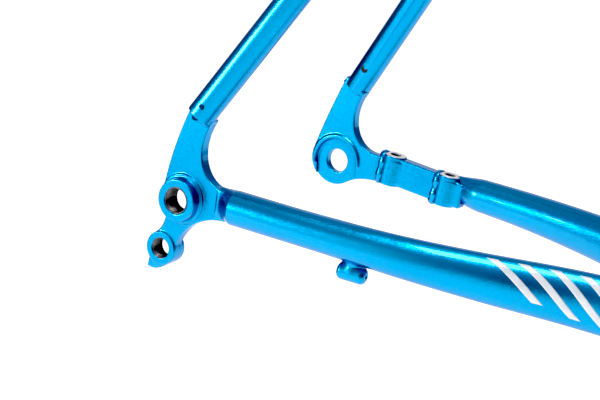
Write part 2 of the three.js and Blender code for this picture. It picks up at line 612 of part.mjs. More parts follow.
/** The left dropout's outline from the axle: a wider eye, and an arm to the brake mount. */
function leftOutline() {
  const [rear] = tabCorners();
  const [x, z] = LEFT_EYE_CENTRE;
  const eyeStart = radians(165);
  const shape = new THREE.Shape();
  shape.moveTo(...rear);
  shape.quadraticCurveTo(...LEFT_REAR_HANDLE,
    x + LEFT_EYE_RADIUS * Math.cos(eyeStart), z + LEFT_EYE_RADIUS * Math.sin(eyeStart));
  shape.absarc(x, z, LEFT_EYE_RADIUS, eyeStart, radians(292), false);
  shape.bezierCurveTo(...LEFT_LOWER_EDGE.flat());
  shape.lineTo(...LEFT_ARM_END);
  shape.quadraticCurveTo(...LEFT_ARM_HANDLE, ...FRONT_EDGE_FOOT);
  frontEdge(shape);
  shape.closePath();
  return shape;
}

/** The recess for the hub's end cap, open downwards, in a dropout that has the axle at the origin. */
function hubRecess(side) {
  const inner = hubFace - HUB_RECESS_DEPTH;
  const round = bar(vec(0, side * (inner - 1), 0), vec(0, side * hubFace, 0), HUB_RECESS_RADIUS, 28);
  const middle = vec(0, side * (inner + hubFace - 1) / 2, -20);
  const mouth = block([2 * HUB_RECESS_RADIUS, HUB_RECESS_DEPTH + 1, 40], middle);
  return round.add(mouth);
}

/** The two faces of a dropout's plate. */
function plateFaces(side) {
  const inner = side * (hubFace - HUB_RECESS_DEPTH);
  return { inner, outer: inner + side * PLATE_THICKNESS };
}

function rightDropout() {
  const { inner, outer } = plateFaces(-1);
  const [hx, hz] = HANGER_OFFSET;
  const outward = vec(0, -1, 0);
  const boss = turned([
    [0, -1], [AXLE_BOSS_BASE_RADIUS, -1], [AXLE_BOSS_BASE_RADIUS, 0.8],
    [AXLE_BOSS_FACE_RADIUS + 0.3, AXLE_BOSS_LENGTH - 0.6], [AXLE_BOSS_FACE_RADIUS, AXLE_BOSS_LENGTH],
    [0, AXLE_BOSS_LENGTH],
  ], vec(0, outer, 0), outward, 32);
  const [eyeOut, eyeIn] = [outer - HANGER_PROUD_OUT, inner + HANGER_PROUD_IN];
  const eye = bar(vec(hx, eyeOut, hz), vec(hx, eyeIn, hz), HANGER_RADIUS, 28);
  const holes = bar(vec(0, -SHELL_WIDTH * 2, 0), origin, AXLE_THREAD / 2, 24)
    .add(bar(vec(hx, -SHELL_WIDTH * 2, hz), vec(hx, 0, hz), HANGER_THREAD / 2, 24));
  const recess = bar(vec(0, inner + 1, 0), vec(0, inner - HUB_RECESS_DEPTH, 0),
    HUB_RECESS_RADIUS - RIGHT_RECESS_SHRINK, 28);
  return plate(rightOutline(), inner, outer).add(boss).add(eye).subtract(holes).subtract(recess)
    .translate(axle.toArray());
}

function leftDropout() {
  const { inner, outer } = plateFaces(1);
  const hole = bar(origin, vec(0, SHELL_WIDTH * 2, 0), AXLE_HOLE_LEFT / 2, 28);
  return plate(leftOutline(), inner, outer).subtract(hole).subtract(hubRecess(1))
    .translate(axle.toArray()).subtract(bossCutter(rearBossTop));
}

add('dropout_right', rightDropout(), candyBlue);
add('dropout_left', leftDropout(), candyBlue);

// ---------------------------------------------------------------- flat brake mount

function flatBoss(top) {
  const foot = top.clone().addScaledVector(bossDown, FLAT_BOSS_HEIGHT);
  return tube(foot, top, FLAT_BOSS_OD, (FLAT_BOSS_OD - FLAT_BOSS_HOLE) / 2, 24);
}

function flatBridge() {
  const middle = rearBossTop.clone().lerp(frontBossTop, 0.5)
    .addScaledVector(bossDown, FLAT_BRIDGE_BELOW_TOP + FLAT_BRIDGE_HEIGHT / 2);
  return block([FLAT_MOUNT_SPACING, FLAT_BRIDGE_THICKNESS, FLAT_BRIDGE_HEIGHT], middle, FLAT_MOUNT_SLOPE)
    .subtract(bossCutter(rearBossTop)).subtract(bossCutter(frontBossTop));
}

add('flat_mount_boss_rear', flatBoss(rearBossTop), candyBlue);
add('flat_mount_boss_front', flatBoss(frontBossTop), candyBlue);
add('flat_mount_bridge', flatBridge(), candyBlue);

// ---------------------------------------------------------------- cable stops and adjusters

/** A cable stop: a round barrel with a neck to the tube it is brazed on, bored for housing and cable. */
function cableStop(centre, forward, towardsTube, neckLength, bore, cutter) {
  const rear = centre.clone().addScaledVector(forward, -STOP_LENGTH / 2);
  const front = centre.clone().addScaledVector(forward, STOP_LENGTH / 2);
  const radius = STOP_OD / 2;
  const barrel = turned([
    [0, 0], [radius - 0.8, 0], [radius, 0.8], [radius, STOP_LENGTH - 2.6], [radius - 0.9, STOP_LENGTH - 0.9],
    [radius - 2.4, STOP_LENGTH], [0, STOP_LENGTH],
  ], rear, forward, 16);
  const neck = bar(centre, centre.clone().addScaledVector(towardsTube, neckLength), radius * 0.78, 14);
  const housing = bar(rear.clone().addScaledVector(forward, -1), centre, bore / 2, 12);
  const cable = bar(rear, front.clone().addScaledVector(forward, 1), STOP_CABLE_HOLE / 2, 8);
  return barrel.add(neck).subtract(housing).subtract(cable).subtract(cutter);
}

function chainstayStop() {
  const { point, forward } = onChainstay(-1, CHAINSTAY_STOP_AHEAD);
  const down = vec(0, 0, -1).addScaledVector(forward, forward.z).normalize();
  const drop = chainstayHalves(0)(point)[1] + CHAINSTAY_STOP_DROP;
  return cableStop(point.clone().addScaledVector(down, drop), forward, down.negate(), drop, ADJUSTER_THREAD,
    chainstayCutter(-1));
}

add('chainstay_cable_stop', chainstayStop(), candyBlue);

for (const [name, side] of [['right', -1], ['left', 1]]) {
  const onAxis = downTubeFront.clone().addScaledVector(downAxis, -DOWN_TUBE_STOP_FROM_HEAD);
  const reach = DOWN_TUBE_OD / 2 + DOWN_TUBE_STOP_OUT;
  const centre = onAxis.clone().add(vec(0, side * reach, 0));
  const rearward = downAxis.clone().negate();
  // The housing comes from the head tube, so the stop's open end faces up the down tube.
  add(`cable_stop_${name}`, cableStop(centre, rearward, vec(0, -side, 0), reach, ADJUSTER_THREAD + 2 * GAP,
    clearOf(origin, downTubeFront, DOWN_TUBE_OD)), candyBlue);
  const mouth = centre.clone().addScaledVector(downAxis, STOP_LENGTH / 2);
  const [stem, knob, cable] = [ADJUSTER_THREAD / 2, ADJUSTER_KNOB_OD / 2, STOP_CABLE_HOLE / 2];
  const stemLength = Math.min(ADJUSTER_STEM_LENGTH, STOP_LENGTH / 2 - GAP);
  add(`adjuster_${name}`, turned([
    [cable, -stemLength], [stem, -stemLength], [stem, GAP], [knob - 0.6, GAP], [knob, GAP + 0.8],
    [knob, ADJUSTER_KNOB_LENGTH - 1], [knob - 1, ADJUSTER_KNOB_LENGTH], [stem, ADJUSTER_KNOB_LENGTH],
    [stem, ADJUSTER_KNOB_LENGTH - 4], [cable, ADJUSTER_KNOB_LENGTH - 4], [cable, -stemLength],
  ], mouth, downAxis, 16), silverAlloy);
}

// ---------------------------------------------------------------- seat clamp

const collarInner = SEAT_TUBE_OD / 2 + GAP;
const collarOuter = collarInner + COLLAR_WALL;
const collarMiddle = SEAT_TUBE_LENGTH - COLLAR_BELOW_TOP - COLLAR_HEIGHT / 2;
const rearward = seatForward.clone().negate();
const boltCentre = seatAxis.clone().multiplyScalar(collarMiddle)
  .addScaledVector(rearward, collarOuter + COLLAR_EAR_REACH / 2);
const earSpan = 2 * COLLAR_EAR_WIDTH + SEAT_SLOT_WIDTH;

/** Lies across the ears: from one distance left of the middle to another, round. */
const acrossEars = (from, to, radius, segments = 18) => bar(
  boltCentre.clone().setY(from), boltCentre.clone().setY(to), radius, segments,
);

function seatCollar() {
  const low = seatAxis.clone().multiplyScalar(collarMiddle - COLLAR_HEIGHT / 2);
  const ring = turned([
    [collarInner, 0], [collarOuter - 0.8, 0], [collarOuter, 0.8], [collarOuter, COLLAR_HEIGHT - 0.8],
    [collarOuter - 0.8, COLLAR_HEIGHT], [collarInner, COLLAR_HEIGHT], [collarInner, 0],
  ], low, seatAxis, 36);
  const middle = seatAxis.clone().multiplyScalar(collarMiddle);
  const earMiddle = collarOuter + (COLLAR_EAR_REACH - COLLAR_WALL) / 2;
  const ears = block([COLLAR_EAR_REACH + COLLAR_WALL, earSpan, COLLAR_HEIGHT - 2], origin, SEAT_ANGLE - 90)
    .translate(middle.clone().addScaledVector(rearward, earMiddle).toArray());
  const split = block([3 * COLLAR_EAR_REACH, SEAT_SLOT_WIDTH, 2 * COLLAR_HEIGHT], origin, SEAT_ANGLE - 90)
    .translate(middle.clone().addScaledVector(rearward, collarInner + 1.5 * COLLAR_EAR_REACH - 1).toArray());
  const bore = bar(origin, seatTop.clone().multiplyScalar(1.1), collarInner, 36);
  return ring.add(ears.subtract(bore)).subtract(split)
    .subtract(acrossEars(-earSpan, earSpan, COLLAR_BOLT / 2 + GAP))
    .subtract(acrossEars(0, earSpan, COLLAR_NUT_OD / 2 + GAP));
}

const headSeat = -earSpan / 2 - GAP;
const nutReach = SEAT_SLOT_WIDTH / 2 + GAP;
add('seat_collar', seatCollar(), blackAnodised);
add('seat_collar_bolt', acrossEars(headSeat - COLLAR_BOLT_HEAD_LENGTH, headSeat, COLLAR_BOLT_HEAD / 2)
  .add(acrossEars(headSeat - 1, earSpan / 2, COLLAR_BOLT / 2))
  .subtract(hexagon(boltCentre.clone().setY(headSeat - COLLAR_BOLT_HEAD_LENGTH), UP, 4, 6)), stainless);
add('seat_collar_nut', acrossEars(nutReach, earSpan / 2 + GAP + COLLAR_NUT_FLANGE, COLLAR_NUT_OD / 2)
  .add(acrossEars(earSpan / 2 + GAP, earSpan / 2 + GAP + COLLAR_NUT_FLANGE, COLLAR_BOLT_HEAD / 2 + 0.6))
  .subtract(acrossEars(0, 2 * earSpan, COLLAR_BOLT / 2 + GAP)), stainless);

export default frame;
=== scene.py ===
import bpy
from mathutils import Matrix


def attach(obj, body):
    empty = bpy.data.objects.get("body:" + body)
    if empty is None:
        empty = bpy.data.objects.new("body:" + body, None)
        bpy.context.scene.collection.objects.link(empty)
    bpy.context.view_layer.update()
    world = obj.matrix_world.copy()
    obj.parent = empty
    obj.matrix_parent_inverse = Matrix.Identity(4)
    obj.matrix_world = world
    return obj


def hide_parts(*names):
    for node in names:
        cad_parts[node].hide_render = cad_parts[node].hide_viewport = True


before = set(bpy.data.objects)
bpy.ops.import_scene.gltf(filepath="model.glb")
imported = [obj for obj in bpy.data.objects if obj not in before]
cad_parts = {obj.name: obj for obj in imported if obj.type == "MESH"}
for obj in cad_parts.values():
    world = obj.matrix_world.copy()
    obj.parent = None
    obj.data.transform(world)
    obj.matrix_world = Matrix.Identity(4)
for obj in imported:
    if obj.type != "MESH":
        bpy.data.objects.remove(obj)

"""The looks of a welded steel bicycle frame: tubes, dropouts, welds, threads, paint and studio.

Lengths inside the classes are in millimetres, measured from the centre of the bottom bracket: +X forward,
+Y to the rider's left, +Z up. A surface turns into metres when it becomes a mesh.
"""
import logging
from dataclasses import dataclass, field
from enum import Enum
from typing import Callable, Iterable, Sequence

import bpy
import numpy as np
from mathutils import Matrix

Array = np.ndarray
Distance = Callable[[Array], Array]
log = logging.getLogger("bicycle_frame")
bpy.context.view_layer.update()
METRES = 0.001
NUDGE = 0.02


# ---------------------------------------------------------------- vectors

def vec(*values: float | Sequence[float]) -> Array:
    """A vector as an array."""
    return np.array(values, float)


def unit(vectors: Array) -> Array:
    """The same directions at length one."""
    return vectors / np.linalg.norm(vectors, axis=-1, keepdims=True)


def smooth(share: Array) -> Array:
    """An S-curve from 0 to 1: three shares squared less two shares cubed, held flat outside."""
    share = np.clip(share, 0.0, 1.0)
    return share * share * (3 - 2 * share)


def across(direction: Array) -> tuple[Array, Array]:
    """Two directions square to one another and to a direction.

    Args:
        direction: a unit vector.

    Returns:
        The sideways and the upright direction.
    """
    helper = vec(0, 0, 1) if abs(direction[2]) < 0.9 else vec(1, 0, 0)
    side = unit(np.cross(direction, helper))
    return side, np.cross(side, direction)


# ---------------------------------------------------------------- surfaces

@dataclass
class Surface:
    """Points in millimetres and the quads between them. A quad with a repeated corner is a triangle."""

    points: Array
    quads: Array

    @classmethod
    def grid(cls, points: Array, close_rows: bool = True, close_columns: bool = True) -> "Surface":
        """Joins neighbouring points of a grid by quads.

        Args:
            points: rows by columns by 3.
            close_rows: whether the last row joins the first.
            close_columns: whether the last column joins the first.

        Returns:
            The surface, with coincident corners merged.
        """
        rows, columns = points.shape[:2]
        index = np.arange(rows * columns).reshape(rows, columns)
        if close_rows:
            index = np.concatenate([index, index[:1]])
        if close_columns:
            index = np.concatenate([index, index[:, :1]], axis=1)
        quads = np.stack([index[:-1, :-1], index[1:, :-1], index[1:, 1:], index[:-1, 1:]], axis=-1)
        return cls(points.reshape(-1, 3), quads.reshape(-1, 4)).merged()

    @classmethod
    def join(cls, parts: Sequence["Surface"]) -> "Surface":
        """Several surfaces as one."""
        starts = np.cumsum([0] + [len(part.points) for part in parts[:-1]])
        quads = [part.quads + start for part, start in zip(parts, starts)]
        return cls(np.concatenate([part.points for part in parts]), np.concatenate(quads))

    def merged(self, tolerance: float = 1e-4) -> "Surface":
        """Merges corners that lie within a tolerance, which closes seams and poles."""
        keys = np.round(self.points / tolerance).astype(np.int64)
        _, first, where = np.unique(keys, axis=0, return_index=True, return_inverse=True)
        return Surface(self.points[first], where.reshape(-1)[self.quads])

    def outward(self) -> "Surface":
        """Turns the faces to point out: the volume under the faces, from the origin, is positive."""
        a, b, c, d = (self.points[self.quads[:, k]] for k in range(4))
        volume = (a * np.cross(b, c)).sum() + (a * np.cross(c, d)).sum()
        return self if volume > 0 else Surface(self.points, self.quads[:, ::-1])

    def mesh(self, name: str) -> bpy.types.Mesh:
        """A Blender mesh in metres, with smooth faces."""
        used = self.quads != np.roll(self.quads, -1, axis=1)
        real = used.sum(axis=1) >= 3
        used, quads = used[real], self.quads[real]
        sides = used.sum(axis=1)
        mesh = bpy.data.meshes.new(name)
        mesh.vertices.add(len(self.points))
        mesh.vertices.foreach_set("co", (self.points * METRES).astype(np.float32).ravel())
        mesh.loops.add(int(sides.sum()))
        mesh.loops.foreach_set("vertex_index", quads[used].astype(np.int32))
        mesh.polygons.add(len(quads))
        mesh.polygons.foreach_set("loop_start", (np.cumsum(sides) - sides).astype(np.int32))
        mesh.update(calc_edges=True)
        mesh.validate()
        mesh.shade_smooth()
        return mesh


def piece(name: str, surface: Surface, finish: "Finish", body: str = "frame",
          replaces: Iterable[str] = ()) -> bpy.types.Object:
    """Makes an object of a surface, dresses it and lets it ride on a body.

    Args:
        name: the object's name.
        surface: its shape.
        finish: its finish, which gives its material; its slot is read but not passed on.
        body: the body that it moves with.
        replaces: the CAD nodes that it stands for.

    Returns:
        The object.
    """
    mesh = surface.outward().mesh(name)
    mesh.materials.append(finish.material())
    made = bpy.data.objects.new(name, mesh)
    bpy.context.scene.collection.objects.link(made)
    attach(made, body)
    finish.slot
    if replaces:
        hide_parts(*replaces)
    log.info("%s: %d faces on %s", name, len(mesh.polygons), body)
    return made


# ---------------------------------------------------------------- bars along a path

@dataclass
class Sweep:
    """An oval bar carried along a path.

    A point at share t of the path and angle phi is centre(t) + side(t) a cos(phi) + up(t) b sin(phi), where
    a and b are half the width and half the height there, and up is upright as far as the path allows.
    """

    centre: Callable[[Array], Array]
    halves: Callable[[Array], tuple[Array, Array]]

    @classmethod
    def straight(cls, start: Array, end: Array, radius: float) -> "Sweep":
        """A round bar between two points."""
        return cls(lambda t: start + np.asarray(t)[..., None] * (end - start),
                   lambda t: (np.full(np.shape(t), radius), np.full(np.shape(t), radius)))

    def frame(self, t: Array) -> tuple[Array, Array, Array]:
        """The path's direction, side and up at each share, with the slope taken over a short step."""
        step = 1e-4
        direction = unit(self.centre(t + step) - self.centre(t - step))
        helper = np.where(np.abs(direction[..., 2:]) < 0.99, vec(0, 0, 1), vec(1, 0, 0))
        side = unit(np.cross(direction, helper))
        return direction, side, np.cross(side, direction)

    def point(self, t: Array, phi: Array, inset: float = 0.0, scale: Array | float = 1.0) -> Array:
        """Points on the bar, sunk by an inset and drawn in towards the path by a scale."""
        t, phi = np.broadcast_arrays(t, phi)
        _, side, up = self.frame(t)
        a, b = self.halves(t)
        reach_a, reach_b = (a - inset) * scale * np.cos(phi), (b - inset) * scale * np.sin(phi)
        return self.centre(t) + side * reach_a[..., None] + up * reach_b[..., None]

    def normal(self, t: Array, phi: Array) -> Array:
        """The bar's outward direction: side cos(phi) / a + up sin(phi) / b, at length one."""
        _, side, up = self.frame(t)
        a, b = self.halves(t)
        return unit(side * (np.cos(phi) / a)[..., None] + up * (np.sin(phi) / b)[..., None])

    def meets(self, distance: Distance, near: float, far: float, phi: Array,
              inset: float = 0.0) -> Array:
        """Where each line along the bar enters a neighbour, by halving the span between outside and inside.

        Args:
            distance: positive outside the neighbour.
            near: a share that is outside it.
            far: a share that is inside it, or where a line that misses it ends.
            phi: the lines' angles.
            inset: how far below the bar's surface the lines run.

        Returns:
            A share for each line.
        """
        low, high = np.full(phi.shape, float(near)), np.full(phi.shape, float(far))
        for _ in range(40):
            middle = (low + high) / 2
            outside = distance(self.point(middle, phi, inset)) > 0
            low, high = np.where(outside, middle, low), np.where(outside, high, middle)
        return low

    def pipe(self, start: Callable[[float], Array], end: Callable[[float], Array], phi: Array, wall: float,
             rows: int = 40) -> Surface:
        """A hollow tube: its outer wall from start to end, and its inner wall back again.

        Args:
            start: the share where each line begins, for an inset.
            end: the share where each line ends, for an inset.
            phi: the lines' angles.
            wall: the wall's thickness.
            rows: how many rows each wall has.

        Returns:
            The closed surface.
        """
        share = np.linspace(0, 1, rows)[:, None]
        grids = []
        for inset in (0.0, wall):
            first, last = start(inset), end(inset)
            grids.append(self.point(first + (last - first) * share, phi[None, :], inset))
        return Surface.grid(np.concatenate([grids[0], grids[1][::-1]]))

    def closed(self, start: Array, end: Array, phi: Array, rows: Array, dome: float = 0.0) -> Surface:
        """A bar with closed ends.

        Args:
            start: the share where each line begins.
            end: the share where each line ends.
            phi: the lines' angles.
            rows: the share of each row, from 0 to 1.
            dome: how far, as a share of the path, a round end stands out before the start.

        Returns:
            The closed surface: the rows, with a quarter ellipse at the start and a flat end.
        """
        parts = []
        for turn in np.linspace(np.pi / 2, 0, 9)[:-1]:
            parts.append(self.point(start - dome * np.sin(turn), phi, scale=max(np.cos(turn), 0.0))[None])
        parts.append(self.point(start + (end - start) * rows[:, None], phi[None, :]))
        middle = self.point(end, phi, scale=0.0)[None].mean(axis=1, keepdims=True)
        parts.append(middle.repeat(len(phi), axis=1))
        return Surface.grid(np.concatenate(parts), close_rows=False)


def turned(profile: Array, origin: Array, axis: Array, columns: int = 96) -> Surface:
    """A turned piece: a closed profile of radius and height carried round an axis.

    Args:
        profile: points of radius and height, in order.
        origin: where height is zero on the axis.
        axis: the axis's unit direction.
        columns: how many steps round the axis.

    Returns:
        The closed surface.
    """
    side, up = across(axis)
    turn = np.linspace(0, 2 * np.pi, columns, endpoint=False)
    ring = side * np.cos(turn)[:, None] + up * np.sin(turn)[:, None]
    radius, height = profile[:, 0], profile[:, 1]
    points = origin + radius[:, None, None] * ring[None] + height[:, None, None] * axis
    return Surface.grid(points)


def rounded(corners: Sequence[tuple[float, float]], radius: float, steps: int = 4) -> Array:
    """A closed profile with its corners cut by quarter bends.

    Each corner becomes a quadratic curve that starts and ends a radius away from it along its two sides.

    Args:
        corners: the profile's corners in order.
        radius: how far from a corner its bend starts, at most four tenths of a side.
        steps: points in each bend.

    Returns:
        The profile's points.
    """
    points = np.array(corners, float)
    before, after = np.roll(points, 1, axis=0) - points, np.roll(points, -1, axis=0) - points
    reach_in = np.minimum(radius, 0.4 * np.linalg.norm(before, axis=1, keepdims=True))
    reach_out = np.minimum(radius, 0.4 * np.linalg.norm(after, axis=1, keepdims=True))
    start, end = points + unit(before) * reach_in, points + unit(after) * reach_out
    share = np.linspace(0, 1, steps)[None, :, None]
    bend = (start[:, None] * (1 - share) ** 2 + points[:, None] * 2 * share * (1 - share)
            + end[:, None] * share ** 2)
    return bend.reshape(-1, 2)


def lathe(corners: Sequence[tuple[float, float]], bend: float, origin: Array, axis: Array,
          columns: int = 96) -> Surface:
    """A turned piece from the corners of its profile, each rounded by a bend."""
    return turned(rounded(corners, bend), origin, axis, columns)


def thread(origin: Array, axis: Array, radius: float, length: float, pitch: float, depth: float = 0.55,
           wall: float = 0.5) -> Surface:
    """The thread of a tapped hole, as a sleeve.

    The inner wall's radius swings by depth, as a rounded triangle wave of height over pitch less turn, so
    that one turn climbs one pitch.

    Args:
        origin: the middle of the hole's first end.
        axis: the hole's unit direction.
        radius: the thread's largest radius.
        length: the hole's length.
        pitch: the climb of a turn.
        depth: the thread's depth.
        wall: the sleeve's thickness outside the thread.

    Returns:
        The closed surface.
    """
    side, up = across(axis)
    turn = np.linspace(0, 2 * np.pi, 72, endpoint=False)
    height = np.linspace(0, length, int(length / pitch * 10) + 1)
    phase = height[:, None] / pitch - turn[None, :] / (2 * np.pi)
    wave = np.arcsin(0.96 * np.sin(2 * np.pi * phase)) / np.arcsin(0.96)
    fade = smooth(np.minimum(height, length - height) / (0.6 * pitch))[:, None]
    inner = radius - depth * (0.5 + 0.5 * wave) * fade
    outer = np.full_like(inner, radius + wall)
    ring = side * np.cos(turn)[:, None] + up * np.sin(turn)[:, None]
    radii, heights = np.concatenate([inner, outer[::-1]]), np.concatenate([height, height[::-1]])
    return Surface.grid(origin + radii[..., None] * ring[None] + heights[:, None, None] * axis)


def bead(curve: Array, lean: Array, radius: float, pitch: float = 2.1, dip: float = 0.07,
         seed: int = 0) -> Surface:
    """A rope of weld metal round a joint, rippled like a row of overlapping coins.

    Its section is an ellipse, a fifth wider than it is high. Along the joint its size is one less the dip
    times the absolute cosine of the run over the pitch, so that it is smallest where the cosine is one and
    swells between, with a slow wander.

    Args:
        curve: the joint's closed line.
        lean: at each point, the direction out of the corner between the two tubes.
        radius: half the rope's height.
        pitch: the length of one ripple.
        dip: how much smaller the rope is between two ripples.
        seed: sets the wander.

    Returns:
        The closed surface.
    """
    loop = np.concatenate([curve, curve[:1]])
    run = np.concatenate([[0], np.cumsum(np.linalg.norm(np.diff(loop, axis=0), axis=1))])
    ripples = max(int(run[-1] / pitch), 6)
    place = np.linspace(0, run[-1], ripples * 8, endpoint=False)
    leans = np.concatenate([lean, lean[:1]])
    line = np.stack([np.interp(place, run, loop[:, k]) for k in range(3)], axis=1)
    out = unit(np.stack([np.interp(place, run, leans[:, k]) for k in range(3)], axis=1))
    along = unit(np.roll(line, -1, axis=0) - np.roll(line, 1, axis=0))
    out = unit(out - along * (out * along).sum(axis=1, keepdims=True))
    side = np.cross(along, out)
    random = np.random.default_rng(seed)
    turns = 2 * np.pi * place / run[-1]
    wander = sum(random.normal(0, 0.03) * np.sin(k * turns + random.uniform(0, 6)) for k in range(2, 9))
    size = radius * (1 - dip * np.abs(np.cos(np.pi * ripples * place / run[-1])) + wander)
    psi = np.linspace(0, 2 * np.pi, 18, endpoint=False)
    ring = out[:, None] * np.cos(psi)[None, :, None] + 1.2 * side[:, None] * np.sin(psi)[None, :, None]
    return Surface.grid(line[:, None] + size[:, None, None] * ring)


# ---------------------------------------------------------------- shapes as distances

def within(beside: Array, above: Array) -> Array:
    """Distance to what is within two limits at right angles: the larger one, or round their corner."""
    return np.minimum(np.maximum(beside, above), 0) + np.hypot(np.maximum(beside, 0), np.maximum(above, 0))


def rod(p: Array, start: Array, end: Array, radius: float, edge: float = 0.0, taper: float = 0.0) -> Array:
    """Distance to a round bar between two points.

    Args:
        p: the points.
        start: the bar's first end.
        end: its second end.
        radius: its radius at the first end.
        edge: how far its rims are rounded.
        taper: how much smaller its second end is.

    Returns:
        A distance for each point, negative inside.
    """
    length = np.linalg.norm(end - start)
    direction = (end - start) / length
    height = (p - start) @ direction
    out = np.linalg.norm(p - start - height[:, None] * direction, axis=1)
    beside = out - (radius - taper * np.clip(height / length, 0, 1)) + edge
    above = np.abs(height - length / 2) - length / 2 + edge
    return within(beside, above) - edge


def block(p: Array, centre: Array, axes: Array, halves: Array, edge: float = 0.0) -> Array:
    """Distance to a box with rounded edges: centre, its three directions as rows, and half its sizes."""
    gap = np.abs((p - centre) @ axes.T) - halves + edge
    return np.minimum(gap.max(axis=1), 0) + np.linalg.norm(np.maximum(gap, 0), axis=1) - edge


def union(a: Array, b: Array, blend: float) -> Array:
    """The nearer of two distances, with a fillet where they are within a blend of each other."""
    overlap = np.maximum(blend - np.abs(a - b), 0) / blend
    return np.minimum(a, b) - overlap * overlap * blend / 4


def cut(a: Array, b: Array, blend: float = 0.3) -> Array:
    """The first shape without the second, with a rounded rim."""
    return -union(-a, b, blend)


@dataclass
class Outline:
    """A closed outline in X and Z, drawn as straight and curved stretches."""

    points: list[Array] = field(default_factory=list)

    def to(self, *corners: tuple[float, float]) -> "Outline":
        """Adds corners."""
        self.points.append(np.array(corners, float))
        return self

    def curve(self, *controls: tuple[float, float]) -> "Outline":
        """Adds a quadratic or cubic curve from the last point, by its controls and its end."""
        nodes = [self.points[-1][-1], *np.array(controls, float)]
        share = np.linspace(0, 1, 28)[1:, None]
        while len(nodes) > 1:
            nodes = [a * (1 - share) + b * share for a, b in zip(nodes[:-1], nodes[1:])]
        self.points.append(nodes[0])
        return self

    def arc(self, centre: tuple[float, float], radius: float, start: float, end: float) -> "Outline":
        """Adds an arc between two angles in degrees."""
        turn = np.radians(np.linspace(start, end, max(int(abs(end - start) / 5), 4)))
        self.points.append(np.array(centre) + radius * np.stack([np.cos(turn), np.sin(turn)], axis=1))
        return self

    def distance(self, x: Array, z: Array) -> Array:
        """Distance from points to the outline, negative inside: the nearest side, signed by crossings."""
        corner = np.concatenate(self.points)
        side = np.roll(corner, -1, axis=0) - corner
        squares = np.maximum((side ** 2).sum(axis=1), 1e-12)
        found = np.empty(len(x))
        for first in range(0, len(x), 20000):
            part = slice(first, first + 20000)
            dx, dz = x[part, None] - corner[:, 0], z[part, None] - corner[:, 1]
            share = np.clip((dx * side[:, 0] + dz * side[:, 1]) / squares, 0, 1)
            gap = np.hypot(dx - share * side[:, 0], dz - share * side[:, 1]).min(axis=1)
            spans = (dz >= 0) != (dz - side[:, 1] >= 0)
            left = (dx * side[:, 1] - dz * side[:, 0] < 0) == (side[:, 1] > 0)
            inside = (spans & left).sum(axis=1) % 2 == 1
            found[part] = np.where(inside, -gap, gap)
        return found

    def plate(self, p: Array, y0: float, y1: float, edge: float) -> Array:
        """Distance to a plate of this outline between two values of Y, with rounded edges."""
        beside = self.distance(p[:, 0], p[:, 2]) + edge
        above = np.abs(p[:, 1] - (y0 + y1) / 2) - abs(y1 - y0) / 2 + edge
        return within(beside, above) - edge


def skin(distance: Distance, low: Array, high: Array, step: float) -> Surface:
    """The surface where a distance is zero.

    A coarse grid finds where the surface is, a fine one is worked out there, one point is put in each cell
    that the surface crosses, at the mean of its crossings, and each crossed edge gets a quad. Then each point
    moves to the surface along the distance's slope.

    Args:
        distance: negative inside.
        low: the lowest corner of the space searched.
        high: the highest corner.
        step: the fine grid's step.

    Returns:
        The closed surface.
    """
    coarse = 4
    counts = np.ceil((high - low) / (step * coarse)).astype(int) + 1
    blocks = np.stack(np.meshgrid(*[np.arange(n) for n in counts], indexing="ij"), axis=-1).reshape(-1, 3)
    middle = low + (blocks + 0.5) * step * coarse
    rough = distance(middle)
    values = np.repeat(np.repeat(np.repeat(rough.reshape(counts), coarse, 0), coarse, 1), coarse, 2)
    near = np.abs(rough) < 1.5 * step * coarse
    offsets = np.stack(np.meshgrid(*[np.arange(coarse)] * 3, indexing="ij"), axis=-1).reshape(-1, 3)
    cells = (blocks[near][:, None] * coarse + offsets).reshape(-1, 3)
    values[tuple(cells.T)] = distance(low + cells * step)

    shape = np.array(values.shape)
    inside = values < 0
    total, count = np.zeros((*shape, 3)), np.zeros(shape)
    quads = []
    for axis in range(3):
        ahead = [slice(None)] * 3
        here = [slice(None)] * 3
        ahead[axis], here[axis] = slice(1, None), slice(None, -1)
        edges = np.argwhere(inside[tuple(here)] != inside[tuple(ahead)])
        edges = edges[(edges > 0).all(axis=1)]
        start = values[tuple(edges.T)]
        stop = values[tuple((edges + np.eye(3, dtype=int)[axis]).T)]
        crossing = edges.astype(float)
        crossing[:, axis] += start / (start - stop)
        first, second = np.eye(3, dtype=int)[(axis + 1) % 3], np.eye(3, dtype=int)[(axis + 2) % 3]
        corners = [edges, edges - first, edges - first - second, edges - second]
        for corner in corners:
            np.add.at(total, tuple(corner.T), crossing)
            np.add.at(count, tuple(corner.T), 1)
        flat = np.stack([np.ravel_multi_index(tuple(corner.T), shape) for corner in corners], axis=1)
        quads.append(np.where((start < 0)[:, None], flat, flat[:, ::-1]))
    quads = np.concatenate(quads)
    used, where = np.unique(quads, return_inverse=True)
    points = low + step * total.reshape(-1, 3)[used] / count.reshape(-1)[used][:, None]
    for _ in range(3):
        here = distance(points)
        rise = np.stack([distance(points + way) - here for way in NUDGE * np.eye(3)], axis=1) / NUDGE
        steep = np.maximum((rise ** 2).sum(axis=1), 0.25)
        points = points - np.clip(here / steep, -step, step)[:, None] * rise
    return Surface(points, where.reshape(quads.shape))


def around(distance: Distance, centre: Array, reach: Array, step: float) -> Surface:
    """The surface where a distance is zero, within reach of a centre."""
    return skin(distance, centre - reach, centre + reach, step)


# ---------------------------------------------------------------- shader maths

